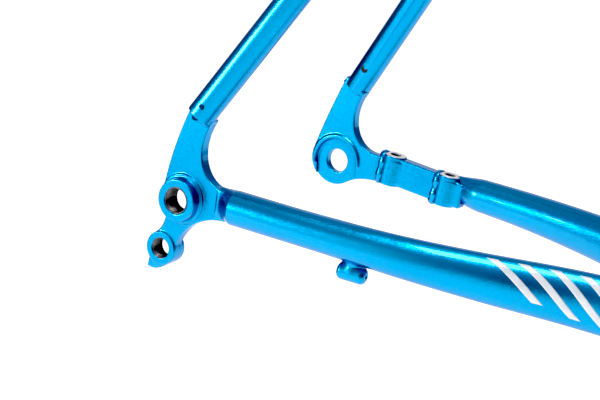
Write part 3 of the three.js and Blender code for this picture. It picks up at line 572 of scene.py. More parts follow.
class Value:
    """A shader socket with the operators for plus, less and times, each of which adds a Math node."""

    def __init__(self, tree: "Tree", socket: bpy.types.NodeSocket) -> None:
        """Wraps a socket of a tree."""
        self.tree, self.socket = tree, socket

    def _math(self, operation: str, *terms: "Value | float") -> "Value":
        """A Math node of an operation on some terms."""
        inputs = {index: term for index, term in enumerate(terms)}
        return self.tree.node("ShaderNodeMath", {"operation": operation}, inputs)["Value"]

    def __add__(self, other: "Value | float") -> "Value":
        """This plus other."""
        return self._math("ADD", self, other)

    __radd__ = __add__

    def __sub__(self, other: "Value | float") -> "Value":
        """This less other."""
        return self._math("SUBTRACT", self, other)

    def __rsub__(self, other: float) -> "Value":
        """Other less this."""
        return self._math("SUBTRACT", other, self)

    def __mul__(self, other: "Value | float") -> "Value":
        """This times other."""
        return self._math("MULTIPLY", self, other)

    __rmul__ = __mul__

    def between(self, low: float, high: float) -> "Value":
        """0 below low, 1 above high, and an S-curve between them."""
        settings = {"interpolation_type": "SMOOTHSTEP"}
        inputs = {"Value": self, "From Min": low, "From Max": high}
        return self.tree.node("ShaderNodeMapRange", settings, inputs)["Result"]


class Made:
    """A node that has been added, whose outputs are read by name."""

    def __init__(self, tree: "Tree", node: bpy.types.Node) -> None:
        """Wraps a node of a tree."""
        self.tree, self.node = tree, node

    def __getitem__(self, name: str) -> Value:
        """An output by its name; for a Mix node, the one that is switched on."""
        found = [s for s in self.node.outputs if s.name == name and s.enabled]
        return Value(self.tree, found[0])


class Tree:
    """A material's node tree."""

    def __init__(self, name: str) -> None:
        """Starts an empty material."""
        self.material = bpy.data.materials.new(name)
        self.material.use_nodes = True
        self.nodes, self.links = self.material.node_tree.nodes, self.material.node_tree.links
        self.nodes.clear()

    def node(self, kind: str, settings: dict[str, object] | None = None,
             inputs: dict[str | int, object] | None = None) -> Made:
        """Adds any node.

        Args:
            kind: the node's type.
            settings: its properties, set first. "stops" sets a colour ramp's places and colours.
            inputs: values or links of its sockets, by name or number.

        Returns:
            The node.
        """
        made = self.nodes.new(kind)
        for name, value in (settings or {}).items():
            if name == "stops":
                self._ramp(made.color_ramp, value)
            else:
                setattr(made, name, value)
        for name, value in (inputs or {}).items():
            enabled = [s for s in made.inputs if s.enabled]
            socket = enabled[name] if isinstance(name, int) else next(s for s in enabled if s.name == name)
            if isinstance(value, Value):
                self.links.new(value.socket, socket)
            else:
                socket.default_value = value
        return Made(self, made)

    @staticmethod
    def _ramp(ramp: bpy.types.ColorRamp, stops: Sequence[tuple[float, tuple[float, ...]]]) -> None:
        """Sets a colour ramp's stops."""
        while len(ramp.elements) < len(stops):
            ramp.elements.new(1.0)
        for element, (place, colour) in zip(ramp.elements, stops):
            element.position, element.color = place, colour

    def coordinates(self) -> Value:
        """The piece's own coordinates, in metres."""
        return self.node("ShaderNodeTexCoord")["Object"]

    def noise(self, scale: float, detail: float = 3.0) -> Value:
        """Cloudy noise on the piece's own coordinates, with so many clouds to the metre."""
        inputs = {"Vector": self.coordinates(), "Scale": scale, "Detail": detail, "Roughness": 0.5}
        return self.node("ShaderNodeTexNoise", {}, inputs)["Fac"]

    def vector(self, operation: str, inputs: dict[str | int, object]) -> Value:
        """A Vector Math node of an operation."""
        return self.node("ShaderNodeVectorMath", {"operation": operation}, inputs)["Vector"]

    def mix(self, share: Value | float, first: object, second: object) -> Value:
        """Two colours mixed."""
        inputs = {"Factor": share, "A": first, "B": second}
        return self.node("ShaderNodeMix", {"data_type": "RGBA"}, inputs)["Result"]

    def bump(self, height: Value, distance: float) -> Value:
        """A normal bent by a height, whose full range is a distance in metres."""
        return self.node("ShaderNodeBump", {}, {"Height": height, "Distance": distance})["Normal"]

    def finish(self, inputs: dict[str, object]) -> bpy.types.Material:
        """Ends the tree in a Principled shader and gives the material."""
        shader = self.node("ShaderNodeBsdfPrincipled", {}, inputs)["BSDF"]
        self.node("ShaderNodeOutputMaterial", {}, {"Surface": shader})
        return self.material


# ---------------------------------------------------------------- finishes

class Slot(Enum):
    """The record's material slots."""

    PAINT = "frame_paint"
    BLACK = "black_anodised"
    STEEL = "stainless"
    SILVER = "silver_alloy"
    NYLON = "black_nylon"


Colour = tuple[float, float, float, float]


@dataclass(frozen=True)
class Finish:
    """A finish: its name, its slot and how its material is made."""

    name: str = "finish"
    kind: Slot = Slot.PAINT

    @property
    def slot(self) -> str:
        """The slot's name."""
        return self.kind.value

    def material(self) -> bpy.types.Material:
        """The material, made once."""
        made = bpy.data.materials.get(self.name)
        return made or self.paint(Tree(self.name))

    def paint(self, tree: Tree) -> bpy.types.Material:
        """Builds the material in a tree."""
        return tree.finish({})


@dataclass(frozen=True)
class CandyPaint(Finish):
    """Metallic paint with a tinted coat: flakes that lean at random under a deep, clear gloss."""

    name: str = "candy_paint"
    kind: Slot = Slot.PAINT
    light: Colour = (0.0, 0.355, 0.66, 1)
    deep: Colour = (0.0, 0.29, 0.57, 1)
    # the colour of painted shade, which darkens hollows, corners and joints
    painted_shade: Colour = (0.0, 0.06, 0.26, 1)
    flakes_per_metre: float = 3600.0
    lean: float = 0.16

    def paint(self, tree: Tree) -> bpy.types.Material:
        """Flakes are the cells of a Voronoi pattern, each with its own lean and brightness, and the colour
        is darkened in hollows, corners and joints by an ambient-occlusion mask: painted shade."""
        cells = tree.node("ShaderNodeTexVoronoi", {}, {
            "Vector": tree.coordinates(), "Scale": self.flakes_per_metre})
        tilt = tree.vector("SUBTRACT", {0: cells["Color"], 1: (0.5, 0.5, 0.5)})
        tilt = tree.vector("SCALE", {0: tilt, "Scale": self.lean})
        flat = tree.node("ShaderNodeNewGeometry")["Normal"]
        leaning = tree.vector("NORMALIZE", {0: tree.vector("ADD", {0: flat, 1: tilt})})
        split = tree.node("ShaderNodeSeparateColor", {}, {"Color": cells["Color"]})
        depth = tree.noise(26.0) * 0.5 + split["Red"] * 0.5
        # Ambient occlusion within 6 mm finds hollows, corners and joints, and these are painted darker:
        # painted shade.
        hollow = tree.node("ShaderNodeAmbientOcclusion", {"samples": 8}, {"Distance": 0.006})["AO"]
        open_colour = tree.mix(depth.between(0.25, 0.75), self.deep, self.light)
        return tree.finish({
            "Base Color": tree.mix(hollow.between(0.3, 0.92), self.painted_shade, open_colour),
            "Metallic": 1.0,
            "Roughness": tree.noise(60.0) * 0.08 + 0.26,
            "Normal": leaning,
            "Specular Tint": (0.1, 0.3, 0.6, 1),
            "Coat Weight": 1.0,
            "Coat Roughness": 0.03,
            "Coat IOR": 1.38,
        })


@dataclass(frozen=True)
class CutMetal(Finish):
    """Bare metal off a lathe or a tap: fine scratches, and oil and a little dirt in patches of slow noise."""

    name: str = "cut_steel"
    kind: Slot = Slot.STEEL
    light: Colour = (0.93, 0.92, 0.91, 1)
    dark: Colour = (0.76, 0.75, 0.75, 1)
    roughness: float = 0.36
    scratch: float = 0.000012

    def paint(self, tree: Tree) -> bpy.types.Material:
        """Fine noise gives scratches, and slow noise the stains."""
        stains, scratches = tree.noise(120.0, 6.0), tree.noise(5200.0, 2.0)
        return tree.finish({
            "Base Color": tree.mix(stains.between(0.3, 0.7), self.dark, self.light),
            "Metallic": 1.0,
            "Roughness": stains * 0.16 + scratches * 0.12 + self.roughness - 0.1,
            "Normal": tree.bump(scratches, self.scratch),
        })


@dataclass(frozen=True)
class Anodised(Finish):
    """Blasted and anodised alloy: an even, fine grain with a soft sheen."""

    name: str = "anodised_black"
    kind: Slot = Slot.BLACK
    light: Colour = (0.022, 0.022, 0.025, 1)
    dark: Colour = (0.012, 0.012, 0.014, 1)
    metallic: float = 0.7
    roughness: float = 0.36

    def paint(self, tree: Tree) -> bpy.types.Material:
        """The grain is very fine noise, and rubbed places shine a little more."""
        grain, rubbed = tree.noise(9000.0, 2.0), tree.noise(90.0)
        return tree.finish({
            "Base Color": tree.mix(rubbed.between(0.3, 0.7), self.dark, self.light),
            "Metallic": self.metallic,
            "Roughness": rubbed * 0.14 + self.roughness - 0.07,
            "Normal": tree.bump(grain, 0.000015),
        })


@dataclass(frozen=True)
class Nylon(Finish):
    """Moulded nylon: a dull skin with a fine spark-eroded texture."""

    name: str = "moulded_nylon"
    kind: Slot = Slot.NYLON
    light: Colour = (0.03, 0.03, 0.032, 1)
    dark: Colour = (0.014, 0.014, 0.015, 1)

    def paint(self, tree: Tree) -> bpy.types.Material:
        """The texture is coarse noise in the height, and worn places are paler."""
        texture, worn = tree.noise(3000.0, 4.0), tree.noise(140.0)
        return tree.finish({
            "Base Color": tree.mix(worn.between(0.4, 0.8), self.dark, self.light),
            "Roughness": worn * 0.2 + 0.48,
            "Normal": tree.bump(texture, 0.00004),
        })


@dataclass(frozen=True)
class WhiteDecal(Finish):
    """A white transfer under the clear coat, faintly mottled."""

    name: str = "white_transfer"
    kind: Slot = Slot.PAINT
    light: Colour = (0.86, 0.88, 0.88, 1)
    dark: Colour = (0.74, 0.79, 0.81, 1)

    def paint(self, tree: Tree) -> bpy.types.Material:
        """Slow noise lets a little of the colour below show through."""
        thin = tree.noise(160.0)
        return tree.finish({
            "Base Color": tree.mix(thin.between(0.35, 0.65), self.dark, self.light),
            "Roughness": thin * 0.1 + 0.3,
            "Coat Weight": 1.0,
            "Coat Roughness": 0.04,
        })


@dataclass(frozen=True)
class Studio(Finish):
    """The studio's surfaces: a matt, faintly uneven tone that may glow like a light table.

    Attributes:
        glow: how strongly it glows.
    """

    name: str = "pale_floor"
    light: Colour = (0.93, 0.93, 0.93, 1)
    dark: Colour = (0.9, 0.9, 0.9, 1)
    glow: float = 0.78

    def paint(self, tree: Tree) -> bpy.types.Material:
        """Slow noise changes the tone a very little."""
        colour = tree.mix(tree.noise(1.3), self.dark, self.light)
        return tree.finish({"Base Color": colour, "Roughness": 0.9, "Emission Color": colour,
                            "Emission Strength": self.glow})


PAINT = CandyPaint()
# Near-black navy paint for the discs that stand in for the shade inside the seatstay's dimples: painted
# shade.
DIMPLE_SHADE = CandyPaint(name="dimple_shade_paint", light=(0.0, 0.03, 0.12, 1), deep=(0.0, 0.02, 0.08, 1),
                    painted_shade=(0.0, 0.01, 0.04, 1))
STEEL = CutMetal()
THREAD_STEEL = CutMetal(name="tapped_steel", light=(0.27, 0.26, 0.26, 1), dark=(0.09, 0.085, 0.085, 1),
                        roughness=0.34)
BLACK = Anodised()
SILVER = Anodised(name="anodised_silver", kind=Slot.SILVER, light=(0.72, 0.72, 0.74, 1),
                  dark=(0.58, 0.58, 0.6, 1), metallic=1.0, roughness=0.3)
NYLON = Nylon()
DECAL = WhiteDecal()


# ---------------------------------------------------------------- frame lines

AXLE = vec(-414.1256, 0, 70)
SEAT_AXIS, SEAT_FORWARD = vec(-0.284015, 0, 0.958820), vec(0.958820, 0, 0.284015)
HEAD_TOP, HEAD_DOWN = vec(385, 0, 560), vec(0.309017, 0, -0.951057)
DOWN_AXIS, DOWN_UPWARD = vec(0.667529, 0, 0.744584), vec(-0.744584, 0, 0.667529)
TOP_TUBE_FRONT, DOWN_TUBE_FRONT = vec(395.446, 0, 527.850), vec(416.136, 0, 464.172)
BOSS_UP, BOSS_FORWARD = vec(0.21644, 0, 0.97630), vec(0.97630, 0, -0.21644)
LEFTWARD = vec(0, 1, 0)
GAP = 0.3
SIDES = {"right": -1, "left": 1}
PHI = np.linspace(0, 2 * np.pi, 96, endpoint=False)
SEAT_RADIUS, DOWN_RADIUS, TOP_RADIUS, HEAD_RADIUS, SHELL_RADIUS = 15.9, 19.05, 14.3, 23.8, 20.0
SEATSTAY_RADIUS = 7
SEAT_END, TOP_TUBE_HEIGHT = 520.0, 480


def cylinder(origin: Array, axis: Array, radius: float) -> Distance:
    """Distance to an endless cylinder."""
    def distance(p: Array) -> Array:
        """Distance from the axis less the radius."""
        away = p - origin
        return np.linalg.norm(away - (away @ axis)[:, None] * axis, axis=1) - radius
    return distance


SEAT_OUTSIDE = cylinder(vec(0, 0, 0), SEAT_AXIS, SEAT_RADIUS)
HEAD_OUTSIDE = cylinder(HEAD_TOP, HEAD_DOWN, HEAD_RADIUS)
SHELL_OUTSIDE = cylinder(vec(0, 0, 0), LEFTWARD, SHELL_RADIUS)
DOWN_OUTSIDE = cylinder(vec(0, 0, 0), DOWN_AXIS, DOWN_RADIUS)


@dataclass
class Stays:
    """The lines and sections of the chainstays and seatstays on one side: -1 right, 1 left."""

    side: int
    bend: tuple[tuple[float, float], ...] = (
        (0, 1), (0.12, 0.955), (0.23, 0.875), (0.32, 0.72), (0.43, 0.45), (0.55, 0.27), (0.74, 0.13), (1, 0))

    def chainstay(self) -> Sweep:
        """The chainstay, as an oval bar from the dropout to the shell.

        Its line is a centripetal Catmull-Rom curve: between two knots it is a cubic whose end slopes weigh
        the neighbouring spans by the square roots of their lengths.
        """
        run, spread = np.array(self.bend).T
        foot, front = AXLE + vec(27, 75, -0.3), vec(0, 24.5, 4.4)
        knots = np.stack([foot[0] + (front[0] - foot[0]) * run, self.side * (front[1] + 50.5 * spread),
                          foot[2] + (front[2] - foot[2]) * run + 2.6 * np.sin(np.pi * run)], axis=1)
        knots = np.concatenate([[2 * knots[0] - knots[1]], knots, [2 * knots[-1] - knots[-2]]])
        spans = np.sqrt(np.linalg.norm(np.diff(knots, axis=0), axis=1))[:, None]
        steps = np.diff(knots, axis=0)
        pairs = (steps[:-1] / spans[:-1] - (knots[2:] - knots[:-2]) / (spans[:-1] + spans[1:])
                 + steps[1:] / spans[1:])

        def centre(t: Array) -> Array:
            """The point at a share, or straight on beyond the ends."""
            t = np.asarray(t, float)
            place = np.clip(t, 0, 1) * (len(run) - 1)
            first = np.clip(place.astype(int), 0, len(run) - 2)
            local = (place - first)[..., None]
            a, b = knots[first + 1], knots[first + 2]
            slope_a, slope_b = pairs[first] * spans[first + 1], pairs[first + 1] * spans[first + 1]
            on = (a * (1 + 2 * local) * (1 - local) ** 2 + b * local ** 2 * (3 - 2 * local)
                  + slope_a * local * (1 - local) ** 2 - slope_b * local ** 2 * (1 - local))
            beyond = (t - np.clip(t, 0, 1))[..., None] * (len(run) - 1)
            return on + beyond * np.where(beyond < 0, slope_a, slope_b)

        def halves(t: Array) -> tuple[Array, Array]:
            """Half the width and half the height: round at the rear, an upright oval by the tyre."""
            share = smooth((centre(t)[..., 0] - AXLE[0] - 60) / 200)
            return (17 + share) / 2, (17 + 12 * share) / 2
        return Sweep(centre, halves)

    def seatstay(self) -> Sweep:
        """The seatstay, as a round bar from the dropout's tab to the seat tube's side."""
        foot = AXLE + vec(11.2, self.side * 74.5, 43.2)
        top = SEAT_AXIS * TOP_TUBE_HEIGHT + vec(0, self.side * 17.2, 0)
        return Sweep.straight(foot, top, SEATSTAY_RADIUS)


def share_at(bar: Sweep, x: float) -> float:
    """The share of a bar's path where it is at a value of X."""
    shares = np.linspace(-0.04, 1, 2001)
    return float(np.interp(x, bar.centre(shares)[:, 0], shares))


def along_bar(bar: Sweep, grow: float = 0.0, samples: int = 160) -> Distance:
    """Distance to a bent bar: at the nearest of many stations, how far out of its oval a point is."""
    shares = np.linspace(0, 1, samples)
    centres, (_, side, up), (a, b) = bar.centre(shares), bar.frame(shares), bar.halves(shares)

    def distance(p: Array) -> Array:
        """The oval's radius, less one, times its smaller half."""
        near = ((p[:, None] - centres) ** 2).sum(axis=2).argmin(axis=1)
        away = p - centres[near]
        across_side, across_up = (away * side[near]).sum(axis=1), (away * up[near]).sum(axis=1)
        wide, high = a[near] + grow, b[near] + grow
        return (np.hypot(across_side / wide, across_up / high) - 1) * np.minimum(wide, high)
    return distance


def slope(distance: Distance, p: Array) -> Array:
    """The direction in which a distance grows fastest, at length one."""
    return unit(np.stack([distance(p + step) - distance(p - step) for step in NUDGE * np.eye(3)], axis=1))


def weld(bar: Sweep, share: Array, phi: Array, neighbour: Distance, radius: float, seed: int) -> Surface:
    """A bead where a bar's lines end on a neighbour."""
    curve = bar.point(share, phi)
    return bead(curve, unit(bar.normal(share, phi) + slope(neighbour, curve)), radius, seed=seed)


def frame_loop(centre: Array, u: Array, v: Array, half_u: float, half_v: float) -> tuple[Array, Array]:
    """A rounded rectangle round a centre: its two coordinates are a cosine and a sine, each to a small power.

    Args:
        centre: its middle.
        u: the direction of its first side.
        v: the direction of its second side.
        half_u: half its first side.
        half_v: half its second side.

    Returns:
        Its points, and the outward direction at each.
    """
    cos, sin = np.cos(PHI), np.sin(PHI)
    squareness = 0.28
    x, y = np.sign(cos) * np.abs(cos) ** squareness, np.sign(sin) * np.abs(sin) ** squareness
    points = centre + (x * half_u)[:, None] * u + (y * half_v)[:, None] * v
    out = unit((x ** 7 / half_u)[:, None] * u + (y ** 7 / half_v)[:, None] * v)
    return points, out


# ---------------------------------------------------------------- front triangle

@dataclass
class FrontTriangle:
    """Head tube, seat tube, top tube, down tube and shell, with their welds and threads.

    Attributes:
        bead_radius: half the height of a weld between main tubes.
    """

    bead_radius: float = 2.3

    def build(self) -> None:
        """Makes the pieces."""
        piece("seat_tube_skin", self.seat_tube(), PAINT, replaces=["seat_tube"])
        piece("head_tube_skin", self.head_tube(), PAINT, replaces=["head_tube"])
        bore, width = 17, 68
        shell = lathe([(bore, 0), (SHELL_RADIUS, 0), (SHELL_RADIUS, width), (bore, width)], 0.5,
                      vec(0, -width / 2, 0), LEFTWARD, 144)
        piece("bottom_bracket_skin", shell, PAINT, replaces=["bottom_bracket_shell"])
        for name, side in SIDES.items():
            sleeve = thread(vec(0, side * 33.4, 0), -side * LEFTWARD, 17.0, 24, 1.06, wall=0.4)
            piece(f"shell_thread_{name}", sleeve, THREAD_STEEL)
        self.tubes()

    def seat_tube(self) -> Surface:
        """The seat tube with its slot: each height is one loop, out round the wall from one side of the slot
        to the other and back round the bore. The slot's half width is that of its round end or of its sides,
        whichever is the wider, and turns into an angle by its arcsine over the radius."""
        slot_end = 488.0
        heights = np.unique(np.concatenate([
            np.linspace(18, 486, 90), slot_end + 2.4 * np.sin(np.linspace(-np.pi / 2, np.pi / 2, 25)),
            np.linspace(491, SEAT_END - 0.6, 24), vec(519.6, 519.8, SEAT_END)]))
        above = heights - slot_end
        half = np.where(above > -2.4, np.sqrt(np.maximum(2.4 ** 2 - above ** 2, 0)), 0)
        half = np.where(above > 0, np.maximum(half, 1.2), half)
        bore = np.where(heights > 390, 13.6, 14.9)
        rim = 0.4 * (1 - np.sqrt(1 - np.clip((heights - 519.6) / 0.4, 0, 1) ** 2))
        turn = np.linspace(0, 1, 120)
        loops = []
        for radius, order in ((np.full(len(heights), SEAT_RADIUS) - rim, slice(None)),
                              (bore + rim, slice(None, None, -1))):
            start = np.arcsin(half / radius)[:, None]
            angle = (start + (2 * np.pi - 2 * start) * turn)[:, order]
            ring = -SEAT_FORWARD * np.cos(angle)[..., None] + LEFTWARD * np.sin(angle)[..., None]
            loops.append(radius[:, None, None] * ring)
        points = np.concatenate(loops, axis=1) + (heights[:, None] * SEAT_AXIS)[:, None]
        middle = (points[[0, -1]][:, :120] + points[[0, -1]][:, :119:-1]) / 2
        caps = np.concatenate([middle, middle[:, ::-1]], axis=1)
        return Surface.grid(np.concatenate([caps[:1], points, caps[1:]]), close_rows=False)

    def head_tube(self) -> Surface:
        """The head tube, with thicker rings at its ends."""
        bore, ring, length = 22, 25.2, 150
        return lathe([(bore, 0), (ring, 0), (ring, 11), (HEAD_RADIUS, 12.4), (HEAD_RADIUS, 137.6),
                      (ring, 139), (ring, length), (bore, length)], 0.6, HEAD_TOP, HEAD_DOWN, 144)

    def tubes(self) -> None:
        """The top and down tubes and the welds of all four joints."""
        top = Sweep.straight(SEAT_AXIS * TOP_TUBE_HEIGHT, TOP_TUBE_FRONT, TOP_RADIUS)
        down = Sweep.straight(vec(0, 0, 0), DOWN_TUBE_FRONT, DOWN_RADIUS)
        low = lambda p: np.minimum(SHELL_OUTSIDE(p), SEAT_OUTSIDE(p))
        for name, bar, rear, wall in (("top_tube", top, SEAT_OUTSIDE, 0.9), ("down_tube", down, low, 0.9)):
            start = lambda inset, bar=bar, rear=rear: bar.meets(rear, 0.5, 0, PHI, inset)
            end = lambda inset, bar=bar: bar.meets(HEAD_OUTSIDE, 0.5, 1, PHI, inset)
            piece(f"{name}_skin", bar.pipe(start, end, PHI, wall), PAINT, replaces=[name])
            piece(f"{name}_weld_rear", weld(bar, start(0.0), PHI, rear, self.bead_radius, 1), PAINT)
            piece(f"{name}_weld_front", weld(bar, end(0.0), PHI, HEAD_OUTSIDE, self.bead_radius, 2), PAINT)
        seat = Sweep.straight(vec(0, 0, 0), SEAT_AXIS * SEAT_END, SEAT_RADIUS)
        piece("seat_tube_weld", weld(seat, seat.meets(SHELL_OUTSIDE, 0.5, 0, PHI), PHI, SHELL_OUTSIDE,
                                     self.bead_radius, 3), PAINT)


# ---------------------------------------------------------------- rear triangle

@dataclass
class RearTriangle:
    """Stays, caps and bridges, with their welds.

    Attributes:
        bead_radius: half the height of a weld on the stays.
    """

    bead_radius: float = 1.7

    def build(self) -> None:
        """Makes the pieces on each side, then the bridges."""
        for name, side in SIDES.items():
            self.chainstay(name, side)
            self.seatstay(name, side)
        self.bridges()

    def chainstay(self, name: str, side: int) -> None:
        """One chainstay: the right one from its dropout, the left one from the brake mount's front boss."""
        bar = Stays(side).chainstay()
        end = bar.meets(SHELL_OUTSIDE, 0.9, 1, PHI)
        first = share_at(bar, AXLE[0] + (30.4 if side < 0 else 74.5))
        if side > 0:
            bar = self.pinched(bar)
        start = np.full(PHI.shape, first)
        rows = (1 - np.cos(np.linspace(0, np.pi, 220))) / 2
        skinned = bar.closed(start, end, PHI, rows, dome=0.004 if side < 0 else 0.012)
        piece(f"chainstay_{name}_skin", skinned, PAINT, replaces=[f"chainstay_{name}"])
        piece(f"chainstay_{name}_weld", weld(bar, end, PHI, SHELL_OUTSIDE, 2.2, 4), PAINT)

    @staticmethod
    def pinched(bar: Sweep) -> Sweep:
        """The same bar with its rear end drawn in to the width of the brake's boss, over 18 mm."""
        def halves(t: Array) -> tuple[Array, Array]:
            """The bar's own halves, of which the width loses a half at most and the height a fifth."""
            lost = 1 - smooth((bar.centre(t)[..., 0] - AXLE[0] - 72) / 18)
            a, b = bar.halves(t)
            return a * (1 - 0.5 * lost), b * (1 - 0.2 * lost)
        return Sweep(bar.centre, halves)

    def seatstay(self, name: str, side: int) -> None:
        """One seatstay with its cap and the weld round both."""
        bar = Stays(side).seatstay()
        end = bar.meets(SEAT_OUTSIDE, 0.9, 1, PHI)
        start = np.full(PHI.shape, -0.0052)
        rows = (1 - np.cos(np.linspace(0, np.pi, 60))) / 2
        piece(f"seatstay_{name}_skin", bar.closed(start, end, PHI, rows, dome=0.0012), PAINT,
              replaces=[f"seatstay_{name}"])
        top, rise = bar.centre(np.array(1.0)), unit(bar.centre(np.array(1.0)) - bar.centre(np.array(0.0)))
        stretch = lambda p: p - rise * ((p - top) @ rise)[:, None] * (1 - SEATSTAY_RADIUS / 4.2)
        dome = lambda p: (np.linalg.norm(stretch(p) - top, axis=1) - SEATSTAY_RADIUS) * 0.6
        cap = lambda p: np.maximum(np.maximum(dome(p), -((p - top) @ rise) - 0.6), -SEAT_OUTSIDE(p) - 0.2)
        piece(f"seatstay_cap_{name}_skin", around(cap, top, vec(10, 10, 10), 0.4), PAINT,
              replaces=[f"seatstay_cap_{name}"])
        piece(f"seatstay_{name}_weld", weld(bar, end, PHI, SEAT_OUTSIDE, self.bead_radius, 5), PAINT)
        foot = bar.centre(np.array(0.0))
        ahead = unit(np.cross(LEFTWARD, rise))
        loop, out = frame_loop(foot - rise * 3.2 + vec(0, -side * 2.0, 0), ahead, LEFTWARD, 6.6, 3.0)
        piece(f"seatstay_{name}_foot_weld", bead(loop, out, 0.9, seed=6), PAINT)
        # The vent hole is a black nylon disc on the stay's inner side: painted shade standing in for the dark
        # inside of the hole.
        inner = foot + rise * 12 - vec(0, side * 6.2, 0)
        hole = lathe([(0, 0), (2.0, 0), (2.0, 0.9), (0, 0.9)], 0.2, inner, -side * LEFTWARD, 32)
        piece(f"seatstay_{name}_vent", hole, NYLON)
        # On the right stay, two dark discs are painted shade: they stand in for the shade inside two shallow
        # paint-filled dimples.
        if side < 0:
            for number, (up, along) in enumerate(((4.4, 0.4), (-4.9, -1.6))):
                place = foot + rise * up + ahead * along + vec(0, side * (6.4 if up > 0 else 0.6), 0)
                painted_shade = lathe([(0, 0), (1.5, 0), (1.5, 0.75), (0, 0.75)], 0.3, place, side * LEFTWARD, 32)
                piece(f"seatstay_dimple_{number}", painted_shade, DIMPLE_SHADE)

    def bridges(self) -> None:
        """The tubes between the two seatstays and between the two chainstays."""
        stays = [Stays(side) for side in SIDES.values()]
        upper = [s.seatstay().centre(np.array(318 / 475.0)) for s in stays]
        lower = [s.chainstay().centre(np.array(share_at(s.chainstay(), -64))) for s in stays]
        for name, (right, left), radius, bars in (
                ("seatstay_bridge", upper, 6.35, [s.seatstay() for s in stays]),
                ("chainstay_bridge", lower, 8.0, [s.chainstay() for s in stays])):
            bar = Sweep.straight(right, left, radius)
            start, end = (bar.meets(along_bar(host), 0.5, far, PHI) for host, far in zip(bars, (0, 1)))
            wall = bar.pipe(lambda _: start, lambda _: end, PHI, 1.0)
            piece(f"{name}_skin", wall, PAINT, replaces=[name])
            for share, host, where in zip((start, end), bars, SIDES):
                piece(f"{name}_weld_{where}", weld(bar, share, PHI, along_bar(host), 1.6, 7), PAINT)


# ---------------------------------------------------------------- dropouts

